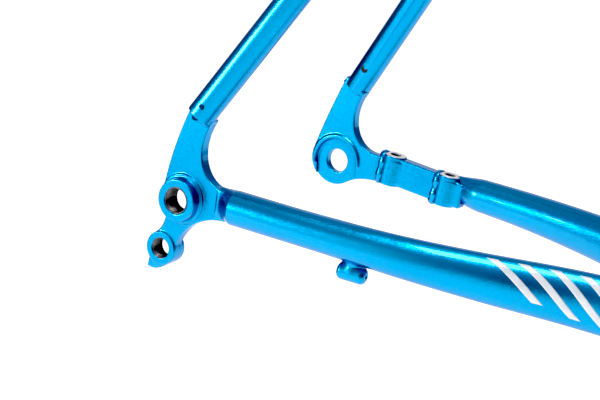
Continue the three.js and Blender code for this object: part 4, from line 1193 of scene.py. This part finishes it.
@dataclass
class Dropouts:
    """The two plates that hold the wheel.

    Attributes:
        edge: how far a plate's edges are rounded.
        step: the fine grid's step.
    """

    edge: float = 0.7
    step: float = 0.4

    def build(self) -> None:
        """Makes the plates and the threads in the right one."""
        for name, shape, low, high in (
                ("right", self.right, vec(-24, -85, -40), vec(35, -63, 56)),
                ("left", self.left, vec(-18, 65, -16), vec(40, 84, 56))):
            plate = skin(lambda p, shape=shape: shape(p - AXLE), AXLE + low, AXLE + high, self.step)
            piece(f"dropout_{name}_skin", plate, PAINT, replaces=[f"dropout_{name}"])
        axle_thread = thread(AXLE - 80.9 * LEFTWARD, LEFTWARD, 6.05, 9.6, 1.5, depth=0.6)
        piece("axle_thread", axle_thread, THREAD_STEEL)
        eye = AXLE + vec(-12.5, -76.0, -25.8)
        piece("hanger_thread", thread(eye, LEFTWARD, 5.05, 8.6, 1.0, depth=0.45), THREAD_STEEL)

    def front_edge(self, outline: Outline) -> Outline:
        """The curved front edge, up to the seatstay's tab."""
        return outline.to((24, 6.3)).curve((12, 8.2), (5.5, 23), (16.8, 38.9))

    def right_outline(self) -> Outline:
        """A tapered plate, a neck, and the derailleur's eye with the point that its stop screw meets."""
        x, z = -12.5, -25.8
        turn = np.radians([115, 300])
        start, after = [(x + 8.3 * np.cos(t), z + 8.3 * np.sin(t)) for t in turn]
        outline = Outline().to((5.6, 47.5)).curve((-6.4, 25.7), (-11.3, 5.1)).arc((0, 0), 12.4, 155.7, 218)
        outline.curve((-10.6, -14.5), start).arc((x, z), 8.3, 115, 212).to((x - 8.4, z - 9.8))
        outline.curve((x - 3, z - 12.6), after).arc((x, z), 8.3, 300, 375).curve((3, -8), (24, -8))
        return self.front_edge(outline)

    def left_outline(self) -> Outline:
        """The same plate with a wider eye, and an arm to the brake mount."""
        outline = Outline().to((5.6, 47.5)).curve((-8, 22.8), (-15.1, 4.7)).arc((-1.2, 1), 14.4, 165, 292)
        outline.curve((12, -8.6), (18, -6.4), (36, -10.6)).to((37, 5.6)).curve((30, 4.8), (24, 6.3))
        return self.front_edge(outline)

    def stub(self, p: Array, side: int) -> Array:
        """Distance to the end of the chainstay, from the axle: over nine millimetres its oval section narrows
        to the plate's thickness and moves into the plate's middle."""
        bar = Stays(side).chainstay()
        shoulder, end = (bar.centre(np.array(share_at(bar, AXLE[0] + x))) - AXLE for x in (30.2, 34.0))
        forward = unit(end - shoulder)
        along = (p - shoulder) @ forward
        away = p - shoulder - along[:, None] * forward
        share = np.clip(along / 9 + 1, 0, 1)
        sideways = away @ LEFTWARD + side * 2.5 * (1 - share)
        upward = away @ np.cross(forward, LEFTWARD)
        wide, high = 3.0 + 5.42 * share, 7.4 + 1.02 * share
        oval = (np.hypot(sideways / wide, upward / high) - 1) * wide * 0.75
        return np.maximum(oval, np.abs(along + 3) - 6.8)

    def foot(self, p: Array, side: int) -> Array:
        """Distance to the end of the seatstay, from the axle."""
        bar = Stays(side).seatstay()
        return rod(p, bar.centre(np.array(-0.0055)) - AXLE, bar.centre(np.array(0.008)) - AXLE, 6.93, 0.35)

    def right(self, p: Array) -> Array:
        """Distance to the right dropout, from the axle."""
        plate = self.right_outline().plate(p, -75.5, -69.5, self.edge)
        disc = rod(p, vec(0, -74, 0), vec(0, -76.5, 0), 12.4, 0.3)
        boss = rod(p, vec(0, -74, 0), vec(0, -81.2, 0), 11.0, 0.45, taper=0.7)
        eye = rod(p, vec(-12.5, -76.3, -25.8), vec(-12.5, -67.1, -25.8), 8.3, 0.5)
        plate = union(union(plate, self.stub(p, -1), 1.6), self.foot(p, -1), 1.2)
        body = union(union(union(plate, disc, 0.5), boss, 0.7), eye, 0.8)
        axle_hole = rod(p, vec(0, -90, 0), vec(0, -60, 0), 6.15)
        axle_mouth = rod(p, vec(0, -82.2, 0), vec(0, -79.6, 0), 8.0, taper=2.6)
        eye_hole = rod(p, vec(-12.5, -90, -25.8), vec(-12.5, -60, -25.8), 5.15)
        recess = rod(p, vec(0, -71, 0), vec(0, -66, 0), 10.6)
        return cut(cut(cut(body, np.minimum(axle_hole, eye_hole), 0.35), axle_mouth, 0.2), recess, 0.5)

    def left(self, p: Array) -> Array:
        """Distance to the left dropout, from the axle. Its recess is open downwards."""
        plate = union(self.left_outline().plate(p, 69.5, 75.5, self.edge), self.foot(p, 1), 1.2)
        rim = rod(p, vec(0, 68.4, 0), vec(0, 71, 0), 14.7, 0.6)
        plate = union(plate, np.maximum(rim, -2 - p[:, 2]), 1.4)
        hole = rod(p, vec(0, 60, 0), vec(0, 90, 0), 6.5)
        recess = rod(p, vec(0, 66, 0), vec(0, 71, 0), 13.6, taper=1.4)
        mouth = block(p, vec(0, 68.5, -20), np.eye(3), vec(12.2, 2.5, 20))
        return cut(cut(plate, hole, 0.5), np.minimum(recess, mouth), 0.6)


# ---------------------------------------------------------------- flat brake mount

@dataclass
class BrakeMount:
    """The two bosses for the brake, the bridge between them, their bare faces and their welds.

    Attributes:
        radius: a boss's radius.
        height: a boss's height.
    """

    radius: float = 6.4
    height: float = 16.6

    def tops(self) -> dict[str, Array]:
        """The middle of each boss's top."""
        return {"rear": vec(-376.73, 70, 77.4), "front": vec(-343.53, 70, 70.04)}

    def build(self) -> None:
        """Makes each boss with its face, its bore and its two welds, then the bridge."""
        for name, top in self.tops().items():
            foot = top - BOSS_UP * self.height
            boss = lambda p, top=top, foot=foot: cut(rod(p, foot, top - BOSS_UP * 0.1, self.radius, 0.5),
                                                     rod(p, foot - BOSS_UP, top + BOSS_UP, 3.1), 0.3)
            piece(f"flat_mount_{name}_skin", around(boss, (top + foot) / 2, vec(12, 9, 12), 0.35), PAINT,
                  replaces=[f"flat_mount_boss_{name}"])
            ring = lathe([(3.0, -0.8), (6.0, -0.8), (6.0, 0), (3.0, 0)], 0.22, top, BOSS_UP)
            piece(f"flat_mount_{name}_face", ring, STEEL)
            low = 1 - self.height
            bore = lathe([(2.6, low), (3.15, low), (3.15, -0.7), (2.6, -0.7)], 0.1, top, BOSS_UP, 64)
            piece(f"flat_mount_{name}_bore", bore, THREAD_STEEL)
            piece(f"flat_mount_{name}_weld_behind", self.weld(top, seed=len(name) - 1), PAINT)
            ahead = around(lambda p, top=top: self.fillet(p, top), top - BOSS_UP * 8.8 + BOSS_FORWARD * 7,
                           vec(11, 8, 13), 0.4)
            piece(f"flat_mount_{name}_weld_ahead", ahead, PAINT)
        rear, front = self.tops().values()
        middle = (rear + front) / 2 - BOSS_UP * 8.4
        axes = np.stack([BOSS_FORWARD, LEFTWARD, BOSS_UP])
        bridge = lambda p: block(p, middle, axes, vec(13.5, 3.7, 7.6), 0.9)
        piece("flat_mount_bridge_skin", around(bridge, middle, vec(18, 8, 16), 0.4), PAINT,
              replaces=["flat_mount_bridge"])

    def fillet(self, p: Array, top: Array) -> Array:
        """Distance to the smooth weld ahead of a boss, in the hollow between it and the bar in front."""
        foot, middle = top - BOSS_UP * 15.9, top - BOSS_UP * 8.8 + BOSS_FORWARD * 6.6
        boss = rod(p, foot, top - BOSS_UP * 1.7, self.radius + 0.06, 1.0)
        bar = block(p, middle, np.stack([BOSS_FORWARD, LEFTWARD, BOSS_UP]), vec(4.2, 3.76, 6.8), 1.4)
        return np.maximum(union(boss, bar, 1.8), -((p - top) @ BOSS_FORWARD) + 0.5)

    def weld(self, top: Array, seed: int) -> Surface:
        """A bead behind a boss: up both its sides and across it, a little wider than the bridge."""
        middle = top - BOSS_UP * 8.8
        loop, out = frame_loop(middle, LEFTWARD, BOSS_UP, 4.0, 7.4)
        off = np.sqrt(np.maximum(self.radius ** 2 - ((loop - middle) @ LEFTWARD) ** 2, 1))
        loop = loop - off[:, None] * BOSS_FORWARD
        return bead(loop, unit(out - 0.8 * BOSS_FORWARD), 2.3, pitch=7.4, dip=0.24, seed=seed)


# ---------------------------------------------------------------- small parts

@dataclass
class CableStops:
    """The stops brazed to the tubes, and the barrel adjusters in the front pair."""

    length: float = 14.5
    radius: float = 4.1

    def build(self) -> None:
        """Makes the stop under the right chainstay, then the pair on the down tube."""
        bar = Stays(-1).chainstay()
        share = np.array(share_at(bar, AXLE[0] + 95))
        forward, _, up = bar.frame(share)
        centre = bar.centre(share) - up * (bar.halves(share)[1] + 4.8)
        self.stop("chainstay_cable_stop", centre, forward, up, along_bar(bar))
        for name, side in SIDES.items():
            centre = DOWN_TUBE_FRONT - 92 * DOWN_AXIS + vec(0, side * 24.05, 0)
            self.stop(f"cable_stop_{name}", centre, -DOWN_AXIS, -side * LEFTWARD, DOWN_OUTSIDE)
            piece(f"adjuster_{name}_knob", self.adjuster(centre + DOWN_AXIS * self.length / 2), SILVER,
                  body=f"barrel_adjuster_{name}", replaces=[f"adjuster_{name}"])

    def stop(self, name: str, centre: Array, forward: Array, towards: Array, host: Distance) -> None:
        """One stop: a barrel with a round nose, a neck, and a fillet of brass where the neck meets a tube."""
        rear, front = centre - forward * self.length / 2, centre + forward * self.length / 2

        def shape(p: Array) -> Array:
            """Barrel and neck, bored for the housing and the cable, less what lies inside the tube."""
            barrel = rod(p, rear, front, self.radius, 2.6)
            neck = rod(p, centre, centre + towards * 14, 3.4)
            body = union(barrel, neck, 1.6)
            filled = union(body, np.maximum(host(p) + 0.06, body - 3.0), 2.2)
            bored = cut(filled, rod(p, rear - forward, centre, 2.7), 0.4)
            return np.maximum(cut(bored, rod(p, rear, front + forward, 0.9), 0.2), -host(p) - 0.7)
        piece(f"{name}_skin", around(shape, centre, vec(13, 13, 13), 0.35), PAINT, replaces=[name])

    def adjuster(self, mouth: Array) -> Surface:
        """A barrel adjuster: its knob's radius dips a little twenty times round, for the fingers."""
        knob = lathe([(1.2, -6.9), (2.5, -6.9), (2.5, 0.3), (3.5, 0.3), (4.0, 1.0), (4.0, 8.0), (3.2, 9.0),
                      (2.5, 9.0), (2.5, 5.0), (1.2, 5.0)], 0.3, mouth, DOWN_AXIS, 160)
        away = knob.points - mouth
        height = away @ DOWN_AXIS
        out = away - height[:, None] * DOWN_AXIS
        side, up = across(DOWN_AXIS)
        turn = np.arctan2(out @ up, out @ side)
        grip = 0.09 * (0.5 + 0.5 * np.cos(20 * turn)) * (np.linalg.norm(out, axis=1) > 3.4)
        return Surface(knob.points - out * grip[:, None], knob.quads)


def hexagon(p: Array, flats: float, low: float, high: float) -> Array:
    """Distance to an upright hexagonal bar about Z."""
    x, y = np.abs(p[:, 0]), np.abs(p[:, 1])
    return np.maximum(np.maximum(y, x * 0.8660254 + y * 0.5) - flats / 2, np.abs(p[:, 2] - (low + high) / 2)
                      - (high - low) / 2)


def placed(surface: Surface, origin: Array, axis: Array) -> Surface:
    """A surface made about Z, carried to stand on an axis at an origin."""
    side, up = across(axis)
    return Surface(origin + surface.points @ np.stack([side, up, axis]), surface.quads)


@dataclass
class Bottles:
    """The four bosses for bottle cages, and their bolts."""

    def build(self) -> None:
        """Makes one bolt and one boss, and sets both four times."""
        bolt, boss = self.bolt(), self.boss()
        for tube, axis, outward, radius, lows in (
                ("seat_tube", SEAT_AXIS, SEAT_FORWARD, SEAT_RADIUS, (150, 214)),
                ("down_tube", DOWN_AXIS, DOWN_UPWARD, DOWN_RADIUS, (210, 274))):
            for place, run in zip(("lower", "upper"), lows):
                face = axis * run + outward * (radius + GAP)
                piece(f"bottle_boss_{tube}_{place}_skin", placed(boss, face, outward), PAINT,
                      replaces=[f"bottle_boss_{tube}_{place}"])
                piece(f"bottle_bolt_{tube}_{place}_skin", placed(bolt, face, outward), STEEL,
                      body=f"bottle_screw_{tube}_{place}", replaces=[f"bottle_bolt_{tube}_{place}"])
                groove = lathe([(4.0, -0.9), (5.2, -0.9), (5.4, -0.2), (4.0, -0.2)], 0.3, face, outward)
                piece(f"bottle_braze_{tube}_{place}", groove, PAINT)

    def bolt(self) -> Surface:
        """A button-headed bolt with a hexagonal socket, about Z with the tube's skin at zero."""
        def shape(p: Array) -> Array:
            """Shank and head less the socket."""
            shank = rod(p, vec(0, 0, -10), vec(0, 0, 2), 2.5, 0.3)
            ball = np.linalg.norm(p - vec(0, 0, 0.4), axis=1) - 4.75
            head = np.maximum(ball, rod(p, vec(0, 0, 1.9), vec(0, 0, 4.9), 4.5, 0.4))
            return cut(union(shank, head, 0.3), hexagon(p, 3, 3.0, 6.0), 0.15)
        return skin(shape, vec(-5.5, -5.5, -11), vec(5.5, 5.5, 6), 0.22)

    def boss(self) -> Surface:
        """A threaded boss with a flange, turned about Z."""
        return lathe([(2.8, -9), (3.5, -9), (3.5, 0), (5, 0), (5, 1.6), (2.8, 1.6)], 0.35, vec(0, 0, 0),
                     vec(0, 0, 1))


@dataclass
class SeatClamp:
    """The collar that clamps the seatpost, its bolt and its nut."""

    middle: float = 511.5
    bolt: Array = field(default_factory=lambda: vec(-168.573, 0, 483.535))

    def local(self, p: Array) -> Array:
        """Points as forward, leftward and up, from the collar's middle on the seat tube's axis."""
        return (p - SEAT_AXIS * self.middle) @ np.stack([SEAT_FORWARD, LEFTWARD, SEAT_AXIS], axis=1)

    def build(self) -> None:
        """Makes the collar, the bolt and the nut."""
        centre = SEAT_AXIS * self.middle - SEAT_FORWARD * 5
        piece("seat_collar_skin", around(self.collar, centre, vec(32, 22, 18), 0.42), BLACK,
              body="seat_clamp", replaces=["seat_collar"])
        bolt = placed(self.bolt_shape(), self.bolt, -LEFTWARD)
        piece("seat_collar_bolt_skin", bolt, STEEL, body="clamp_bolt", replaces=["seat_collar_bolt"])
        nut = lathe([(2.8, 1.5), (4.0, 1.5), (4.0, 8.5), (4.85, 8.5), (4.85, 10.1), (2.8, 10.1)], 0.3,
                    self.bolt, LEFTWARD)
        piece("seat_collar_nut_skin", nut, STEEL, body="seat_clamp", replaces=["seat_collar_nut"])

    def collar(self, p: Array) -> Array:
        """Distance to the collar: a ring with ears behind it, split, and bored for the bolt and the nut."""
        q = self.local(p)
        ring = rod(q, vec(0, 0, -7), vec(0, 0, 7), 18.8, 0.8)
        ears = block(q, vec(-23.4, 0, 0), np.eye(3), vec(6.4, 8.2, 6), 1.2)
        body = union(ring, ears, 2.4)
        body = cut(body, rod(q, vec(0, 0, -20), vec(0, 0, 20), 16.2), 0.5)
        body = cut(body, block(q, vec(-30, 0, 0), np.eye(3), vec(16, 1.2, 20)), 0.4)
        groove = np.maximum(np.abs(q[:, 2]) - 0.9, 18.2 - np.hypot(q[:, 0], q[:, 1]))
        body = np.where(q[:, 0] > -14, cut(body, groove, 0.4), body)
        hole = np.hypot(p[:, 0] - self.bolt[0], p[:, 2] - self.bolt[2])
        body = cut(body, hole - 2.8, 0.3)
        return cut(body, np.maximum(hole - 4.3, -p[:, 1]), 0.3)

    def bolt_shape(self) -> Surface:
        """A cap-headed bolt with a hexagonal socket, about Z."""
        def shape(p: Array) -> Array:
            """Head and shank less the socket."""
            head = rod(p, vec(0, 0, 8.5), vec(0, 0, 13.5), 4.25, 0.5)
            shank = rod(p, vec(0, 0, -8.1), vec(0, 0, 9), 2.5, 0.3)
            return cut(union(head, shank, 0.3), hexagon(p, 4, 10.5, 15), 0.2)
        return skin(shape, vec(-5.5, -5.5, -9.5), vec(5.5, 5.5, 15), 0.25)


@dataclass
class CableGuide:
    """The nylon guide under the shell and its screw."""

    def build(self) -> None:
        """Makes the guide and the screw."""
        piece("cable_guide_skin", skin(self.guide, vec(-20, -15, -25), vec(20, 15, -12), 0.4), NYLON,
              replaces=["cable_guide"])
        screw = placed(self.screw(), vec(0, 0, -23.2), vec(0, 0, -1))
        piece("cable_guide_screw_skin", screw, STEEL, body="guide_screw", replaces=["cable_guide_screw"])

    def guide(self, p: Array) -> Array:
        """Distance to an arc of the ring round the shell, less two grooves and the screw's hole."""
        radius = np.hypot(p[:, 0], p[:, 2])
        turn = np.abs(np.arctan2(p[:, 0], -p[:, 2]))
        wall = np.maximum(np.abs(radius - 21.6) - 1.3, (turn - np.radians(50)) * radius)
        body = np.maximum(wall + 0.4, np.abs(p[:, 1]) - 12.6) - 0.4
        for side in SIDES.values():
            body = cut(body, np.hypot(radius - 22.9, p[:, 1] - side * 8) - 1.2, 0.3)
        return cut(body, np.hypot(p[:, 0], p[:, 1]) - 2.3, 0.3)

    def screw(self) -> Surface:
        """A domed screw with a hexagonal socket, about Z."""
        def shape(p: Array) -> Array:
            """Head and shank less the socket."""
            ball = np.linalg.norm(p - vec(0, 0, -2.6), axis=1) - 5.0
            head = np.maximum(ball, rod(p, vec(0, 0, 0), vec(0, 0, 2.4), 4.0, 0.3))
            shank = rod(p, vec(0, 0, -5.9), vec(0, 0, 1), 2.0, 0.2)
            return cut(union(head, shank, 0.2), hexagon(p, 3, 0.8, 4), 0.15)
        return skin(shape, vec(-5, -5, -7), vec(5, 5, 3.5), 0.22)


@dataclass
class Transfers:
    """Four plain white bars on the right chainstay, laid under the clear coat.

    Attributes:
        lift: how far the transfer stands above the paint.
    """

    lift: float = 0.05

    def build(self) -> None:
        """Makes the bars, each a little longer than the one behind it, as one piece."""
        bar = Stays(-1).chainstay()
        strips = [self.strip(bar, -258 + 13 * n, -236 + 17 * n, 1.15, -0.35 - 0.25 * n, width=5.0)
                  for n in range(4)]
        piece("chainstay_transfer", Surface.join(strips), DECAL)

    def strip(self, bar: Sweep, x0: float, x1: float, phi0: float, phi1: float, width: float) -> Surface:
        """A slanted strip on a bar.

        Args:
            bar: the bar.
            x0: the value of X of its middle at its first end.
            x1: the value of X of its middle at its second end.
            phi0: its angle round the bar at its first end.
            phi1: its angle at its second end.
            width: its width along X.

        Returns:
            The closed surface, from just below the paint to its lift above it.
        """
        run = np.linspace(0, 1, 30)[:, None]
        offset = np.linspace(-0.5, 0.5, 6)[None, :] * width
        shares = np.linspace(0, 1, 4001)
        x = x0 + (x1 - x0) * run + offset
        t = np.interp(x, bar.centre(shares)[:, 0], shares)
        phi = np.broadcast_to(phi0 + (phi1 - phi0) * run, t.shape)
        top, under = bar.point(t, phi, -self.lift), bar.point(t, phi, 0.1)
        loops = np.concatenate([top, under[:, ::-1]], axis=1)
        middle = loops[[0, -1]].mean(axis=1, keepdims=True).repeat(loops.shape[1], axis=1)
        return Surface.grid(np.concatenate([middle[:1], loops, middle[1:]]), close_rows=False)


# ---------------------------------------------------------------- studio

@dataclass
class StudioSet:
    """Floor, lights, sky and camera, in metres.

    Attributes:
        floor: the floor's height.
        floor_reach: how far it goes each way.
        card_height: the height of the black cards.
        black_level: the tone that is shown as black.
        place: the camera's place.
        lens: its focal length in millimetres.
        screens: the direction of each pale screen, and the cosines at its edge and inside it.
        flags: the ends on the floor of the black cards, which the camera can't see and which darken what
            faces them.
    """

    floor: float = -0.28
    floor_reach: float = 60
    card_height: float = 0.6
    black_level: float = 0.042
    place: tuple[float, float, float] = (0.0503, -0.7226, 0.2221)
    lens: float = 100.7
    screens: tuple[tuple[tuple[float, float, float], float, float], ...] = (
        ((-0.362, -0.896, 0.259), 0.9, 0.965), ((-0.453, 0.853, 0.259), 0.84, 0.95))
    flags: dict[str, tuple[tuple[float, float], tuple[float, float]]] = field(default_factory=lambda: {
        "flag_right": ((0.8, 1.0), (0.15, -1.6)), "flag_left": ((-1.45, 0.75), (-1.45, -0.4))})

    def build(self) -> None:
        """Makes the set."""
        low, high = self.floor, self.floor + self.card_height
        far = self.floor_reach
        ground = vec([-far, -far, low], [far, -far, low], [far, far, low], [-far, far, low])
        self.sheet("floor", ground, Studio())
        black = Studio("black_card", light=(0.03, 0.03, 0.04, 1), dark=(0.02, 0.02, 0.03, 1), glow=0)
        for name, (a, b) in self.flags.items():
            self.sheet(name, vec([*a, low], [*b, low], [*b, high], [*a, high]), black)
            bpy.data.objects[name].visible_camera = False
        self.sky()
        self.light("overhead", (-0.13, -0.42, 1.46), (-0.26, -0.07, 0.06), (0.56, 0.66), 9)
        self.light("camera_left", (-1.28, -1.11, 0.4), (-0.33, -0.02, 0.09), (0.44, 0.34), 7)
        self.camera()
        shown = bpy.context.scene.view_settings
        shown.view_transform = "Standard"
        shown.use_curve_mapping = True
        shown.curve_mapping.black_level = (self.black_level,) * 3

    @staticmethod
    def sheet(name: str, corners: Array, finish: Finish) -> None:
        """A flat sheet of the set, from its corners."""
        mesh = Surface(corners / METRES, np.array([[0, 1, 2, 3]])).mesh(name)
        mesh.materials.append(finish.material())
        made = bpy.data.objects.new(name, mesh)
        bpy.context.scene.collection.objects.link(made)

    def sky(self) -> None:
        """A sky that is bright above and dim at the horizon, but for the pale screens."""
        world = bpy.data.worlds.new("studio_sky")
        bpy.context.scene.world = world
        world.use_nodes = True
        nodes, links = world.node_tree.nodes, world.node_tree.links
        place = nodes.new("ShaderNodeTexCoord")
        height = nodes.new("ShaderNodeSeparateXYZ")
        ramp = nodes.new("ShaderNodeValToRGB")
        links.new(place.outputs["Generated"], height.inputs[0])
        links.new(height.outputs["Z"], ramp.inputs[0])
        colour = ramp.outputs["Color"]
        for towards, edge, middle in self.screens:
            facing, share, mixed = (nodes.new(kind) for kind in (
                "ShaderNodeVectorMath", "ShaderNodeMapRange", "ShaderNodeMix"))
            facing.operation, share.interpolation_type, mixed.data_type = "DOT_PRODUCT", "SMOOTHSTEP", "RGBA"
            facing.inputs[1].default_value = towards
            links.new(place.outputs["Generated"], facing.inputs[0])
            links.new(facing.outputs["Value"], share.inputs["Value"])
            share.inputs["From Min"].default_value, share.inputs["From Max"].default_value = edge, middle
            links.new(share.outputs["Result"], mixed.inputs["Factor"])
            links.new(colour, mixed.inputs[6])
            mixed.inputs[7].default_value = (0.9, 0.9, 0.9, 1)
            colour = mixed.outputs[2]
        links.new(colour, nodes["Background"].inputs["Color"])
        tones = ((0.0, 0.17), (0.35, 0.2), (0.6, 0.4), (0.8, 0.46), (1.0, 0.46))
        while len(ramp.color_ramp.elements) < len(tones):
            ramp.color_ramp.elements.new(1.0)
        for element, (at, tone) in zip(ramp.color_ramp.elements, tones):
            element.position, element.color = at, (tone, tone, tone * (1.7 - 0.7 * at), 1)

    def light(self, name: str, place: Sequence[float], target: Sequence[float], size: tuple[float, float],
              power: float) -> None:
        """A rectangular lamp that faces a target."""
        lamp = bpy.data.lights.new(name, "AREA")
        lamp.shape, lamp.size, lamp.size_y, lamp.energy = "RECTANGLE", *size, power
        made = bpy.data.objects.new(name, lamp)
        made.matrix_world = Matrix(self.facing(vec(*place), vec(*target)).tolist())
        bpy.context.scene.collection.objects.link(made)

    @staticmethod
    def facing(place: Array, target: Array) -> Array:
        """The placement of something at a place whose -Z points at a target."""
        back = unit(place - target)
        side = unit(np.cross(vec(0, 0, 1), back))
        matrix = np.eye(4)
        matrix[:3, :4] = np.stack([side, np.cross(back, side), back, place], axis=1)
        return matrix

    def camera(self) -> None:
        """The camera, from its heading, its fall and its roll in degrees."""
        heading, fall, roll = np.radians([31.585, 10.776, 1.413])
        ahead = vec(-np.sin(heading) * np.cos(fall), np.cos(heading) * np.cos(fall), -np.sin(fall))
        right = vec(np.cos(heading), np.sin(heading), 0)
        up = np.cross(right, ahead)
        x, y = right * np.cos(roll) + up * np.sin(roll), up * np.cos(roll) - right * np.sin(roll)
        matrix = np.eye(4)
        matrix[:3, :4] = np.stack([x, y, -ahead, vec(*self.place)], axis=1)
        data = bpy.data.cameras.new("camera")
        data.lens, data.sensor_width = self.lens, 36
        data.clip_start, data.clip_end = 0.01, 200
        made = bpy.data.objects.new("camera", data)
        made.matrix_world = Matrix(matrix.tolist())
        bpy.context.scene.collection.objects.link(made)
        bpy.context.scene.camera = made


def main() -> None:
    """Builds every sub-assembly, then the set."""
    logging.basicConfig(level=logging.INFO, format="%(message)s")
    for part in (FrontTriangle(), RearTriangle(), Dropouts(), BrakeMount(), CableStops(), Bottles(),
                 SeatClamp(), CableGuide(), Transfers()):
        part.build()
    StudioSet().build()


if __name__ == "__main__":
    main()
